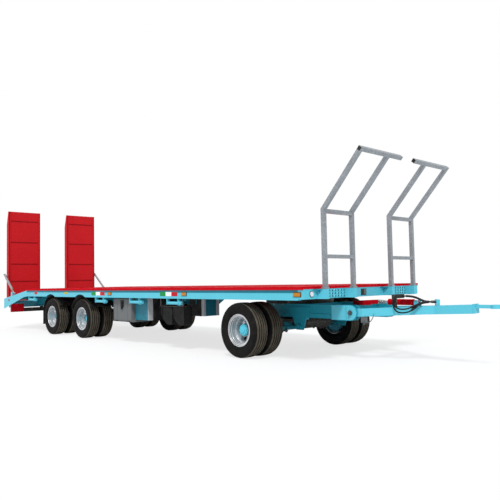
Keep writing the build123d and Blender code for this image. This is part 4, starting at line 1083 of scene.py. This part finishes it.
# Air tanks: two across the dolly, each hung by two feet from a pair of straps
tankSet = {"tanks": ((-0.98, 0.425), (-1.45, 0.455)), "footUp": 0.080, "footY": 0.24, "footHalf": 0.02,
           "shells": ((-0.33, 0.33, 0.09, 0.09), (0.33, 0.36, 0.09, 0.055), (-0.33, -0.36, 0.09, 0.055)),
           "strapX": (-1.50, -0.78), "strapsY": ((-0.38, -0.20), (0.20, 0.38)), "strapZ": (0.560, 0.575)}
work = bmesh.new()
half = tankSet["footHalf"]
for a, b, radius, tip in tankSet["shells"]:
    for x, z in tankSet["tanks"]:
        drum(work, at(x, a, z), at(x, b, z), radius, 36, tip)
for x, z in tankSet["tanks"]:
    for y in (-tankSet["footY"], tankSet["footY"]):
        slab(work, at(x - half, y - half, z + tankSet["footUp"]),
             at(x + half, y + half, tankSet["strapZ"][1]))
(x0, x1), (z0, z1) = tankSet["strapX"], tankSet["strapZ"]
for y0, y1 in tankSet["strapsY"]:
    slab(work, at(x0, y0, z0), at(x1, y1, z1))
add("airTanks", work, "dolly", blackPaint, soft=0.002)
print("dolly dressed")

# Drawbar: the support spring wound round its tube with end collars, and clamps on its rod
# Reaches count from the pin towards the eye
supportSet = {"pin": (0.755, 0, 0.725), "eye": (0.170, 0, 0.728),
              "tube": (0.052, 0.405, 0.0265), "coilFrom": 0.080,
              "coil": {"Turns": 15.0, "Coil radius": 0.0330, "Length": 0.300, "Wire radius": 0.0065,
                       "Finish": deckPaint},
              "collars": ((0.050, 0.074, 0.040), (0.386, 0.410, 0.040)),
              "bossHalf": 0.02, "bossRadius": 0.024, "fork": (0.055, 0.018),
              "clamps": ((0.474, 0.494, 0.0235, 28), (0.502, 0.522, 0.0235, 28), (0.530, 0.545, 0.027, 6))}
pin, eye = at(*supportSet["pin"]), at(*supportSet["eye"])
along = (eye - pin).normalized()
coil = dict(supportSet["coil"], Place=tuple(pin + along * supportSet["coilFrom"]),
            Turn=tuple(along.to_track_quat("Z", "Y").to_euler()))
work = bmesh.new()
work.from_mesh(grow("supportCoil", coilTree, coil))
a, b, radius = supportSet["tube"]
drum(work, pin + along * a, pin + along * b, radius, 32)
for a, b, radius in supportSet["collars"]:
    drum(work, pin + along * a, pin + along * b, radius, 36)
half, (deep, tall) = supportSet["bossHalf"], supportSet["fork"]
drum(work, pin + Vector((0, -half, 0)), pin + Vector((0, half, 0)), supportSet["bossRadius"], 28)
slab(work, pin + Vector((-deep, -half, -tall)), pin + Vector((0, half, tall)))
add("supportSpring", work, "lift_barrel", deckPaint, replaced=("lift_barrel",))
work = bmesh.new()
for a, b, radius, sides in supportSet["clamps"]:
    drum(work, pin + along * a, pin + along * b, radius, sides)
add("rodClamps", work, "lift_rod", plated, soft=0.0015)

# Breakaway valve under the right arm, with its wire bail
breakawaySet = {"low": (0.205, -0.428, 0.478), "high": (0.275, -0.382, 0.552),
                "drums": (((0.240, -0.428, 0.505), (0.240, -0.446, 0.505), 0.020, 24),
                          ((0.240, -0.405, 0.455), (0.240, -0.405, 0.480), 0.014, 20)),
                "bail": [(0.240, -0.444, 0.505), (0.285, -0.452, 0.486), (0.335, -0.452, 0.484),
                         (0.372, -0.446, 0.510), (0.384, -0.420, 0.552), (0.378, -0.395, 0.590)],
                "wire": 0.0055}
valve, bail = bmesh.new(), bmesh.new()
slab(valve, at(*breakawaySet["low"]), at(*breakawaySet["high"]))
for a, b, radius, sides in breakawaySet["drums"]:
    drum(valve, at(*a), at(*b), radius, sides)
tubeAlong(bail, [at(*p) for p in breakawaySet["bail"]], breakawaySet["wire"], 10)
add("breakawayValve", valve, "drawbar", greyPlastic, soft=0.002)
add("breakawayBail", bail, "drawbar", springSteel)
print("drawbar dressed")

# Floor: plain and pale, mostly white to the camera so that only the soft shadow shows
floorSet = {"half": 90, "drop": 0.001, "colour": "#F2F3F4", "rough": 0.9, "white": 0.72}
floorMesh = bpy.data.meshes.new("floor")
work = bmesh.new()
bmesh.ops.create_grid(work, x_segments=1, y_segments=1, size=floorSet["half"])
work.to_mesh(floorMesh)
work.free()
floorPiece = bpy.data.objects.new("floor", floorMesh)
floorPiece.location = (0, 0, -floorSet["drop"])
m, tree = material("paleStudioFloor")
path = node(tree, "ShaderNodeLightPath")
matt = node(tree, "ShaderNodeBsdfPrincipled",
            {"Base Color": srgb(floorSet["colour"]), "Roughness": floorSet["rough"]})
glow = node(tree, "ShaderNodeEmission", {"Color": (1, 1, 1, 1), "Strength": 1.0})
seen = node(tree, "ShaderNodeMath", {0: path.outputs["Is Camera Ray"], 1: floorSet["white"]},
            operation="MULTIPLY")
floorMix = node(tree, "ShaderNodeMixShader", {0: seen.outputs[0], 1: matt.outputs[0], 2: glow.outputs[0]})
finishMaterial(tree, floorMix)
floorMesh.materials.append(m)
scene.collection.objects.link(floorPiece)
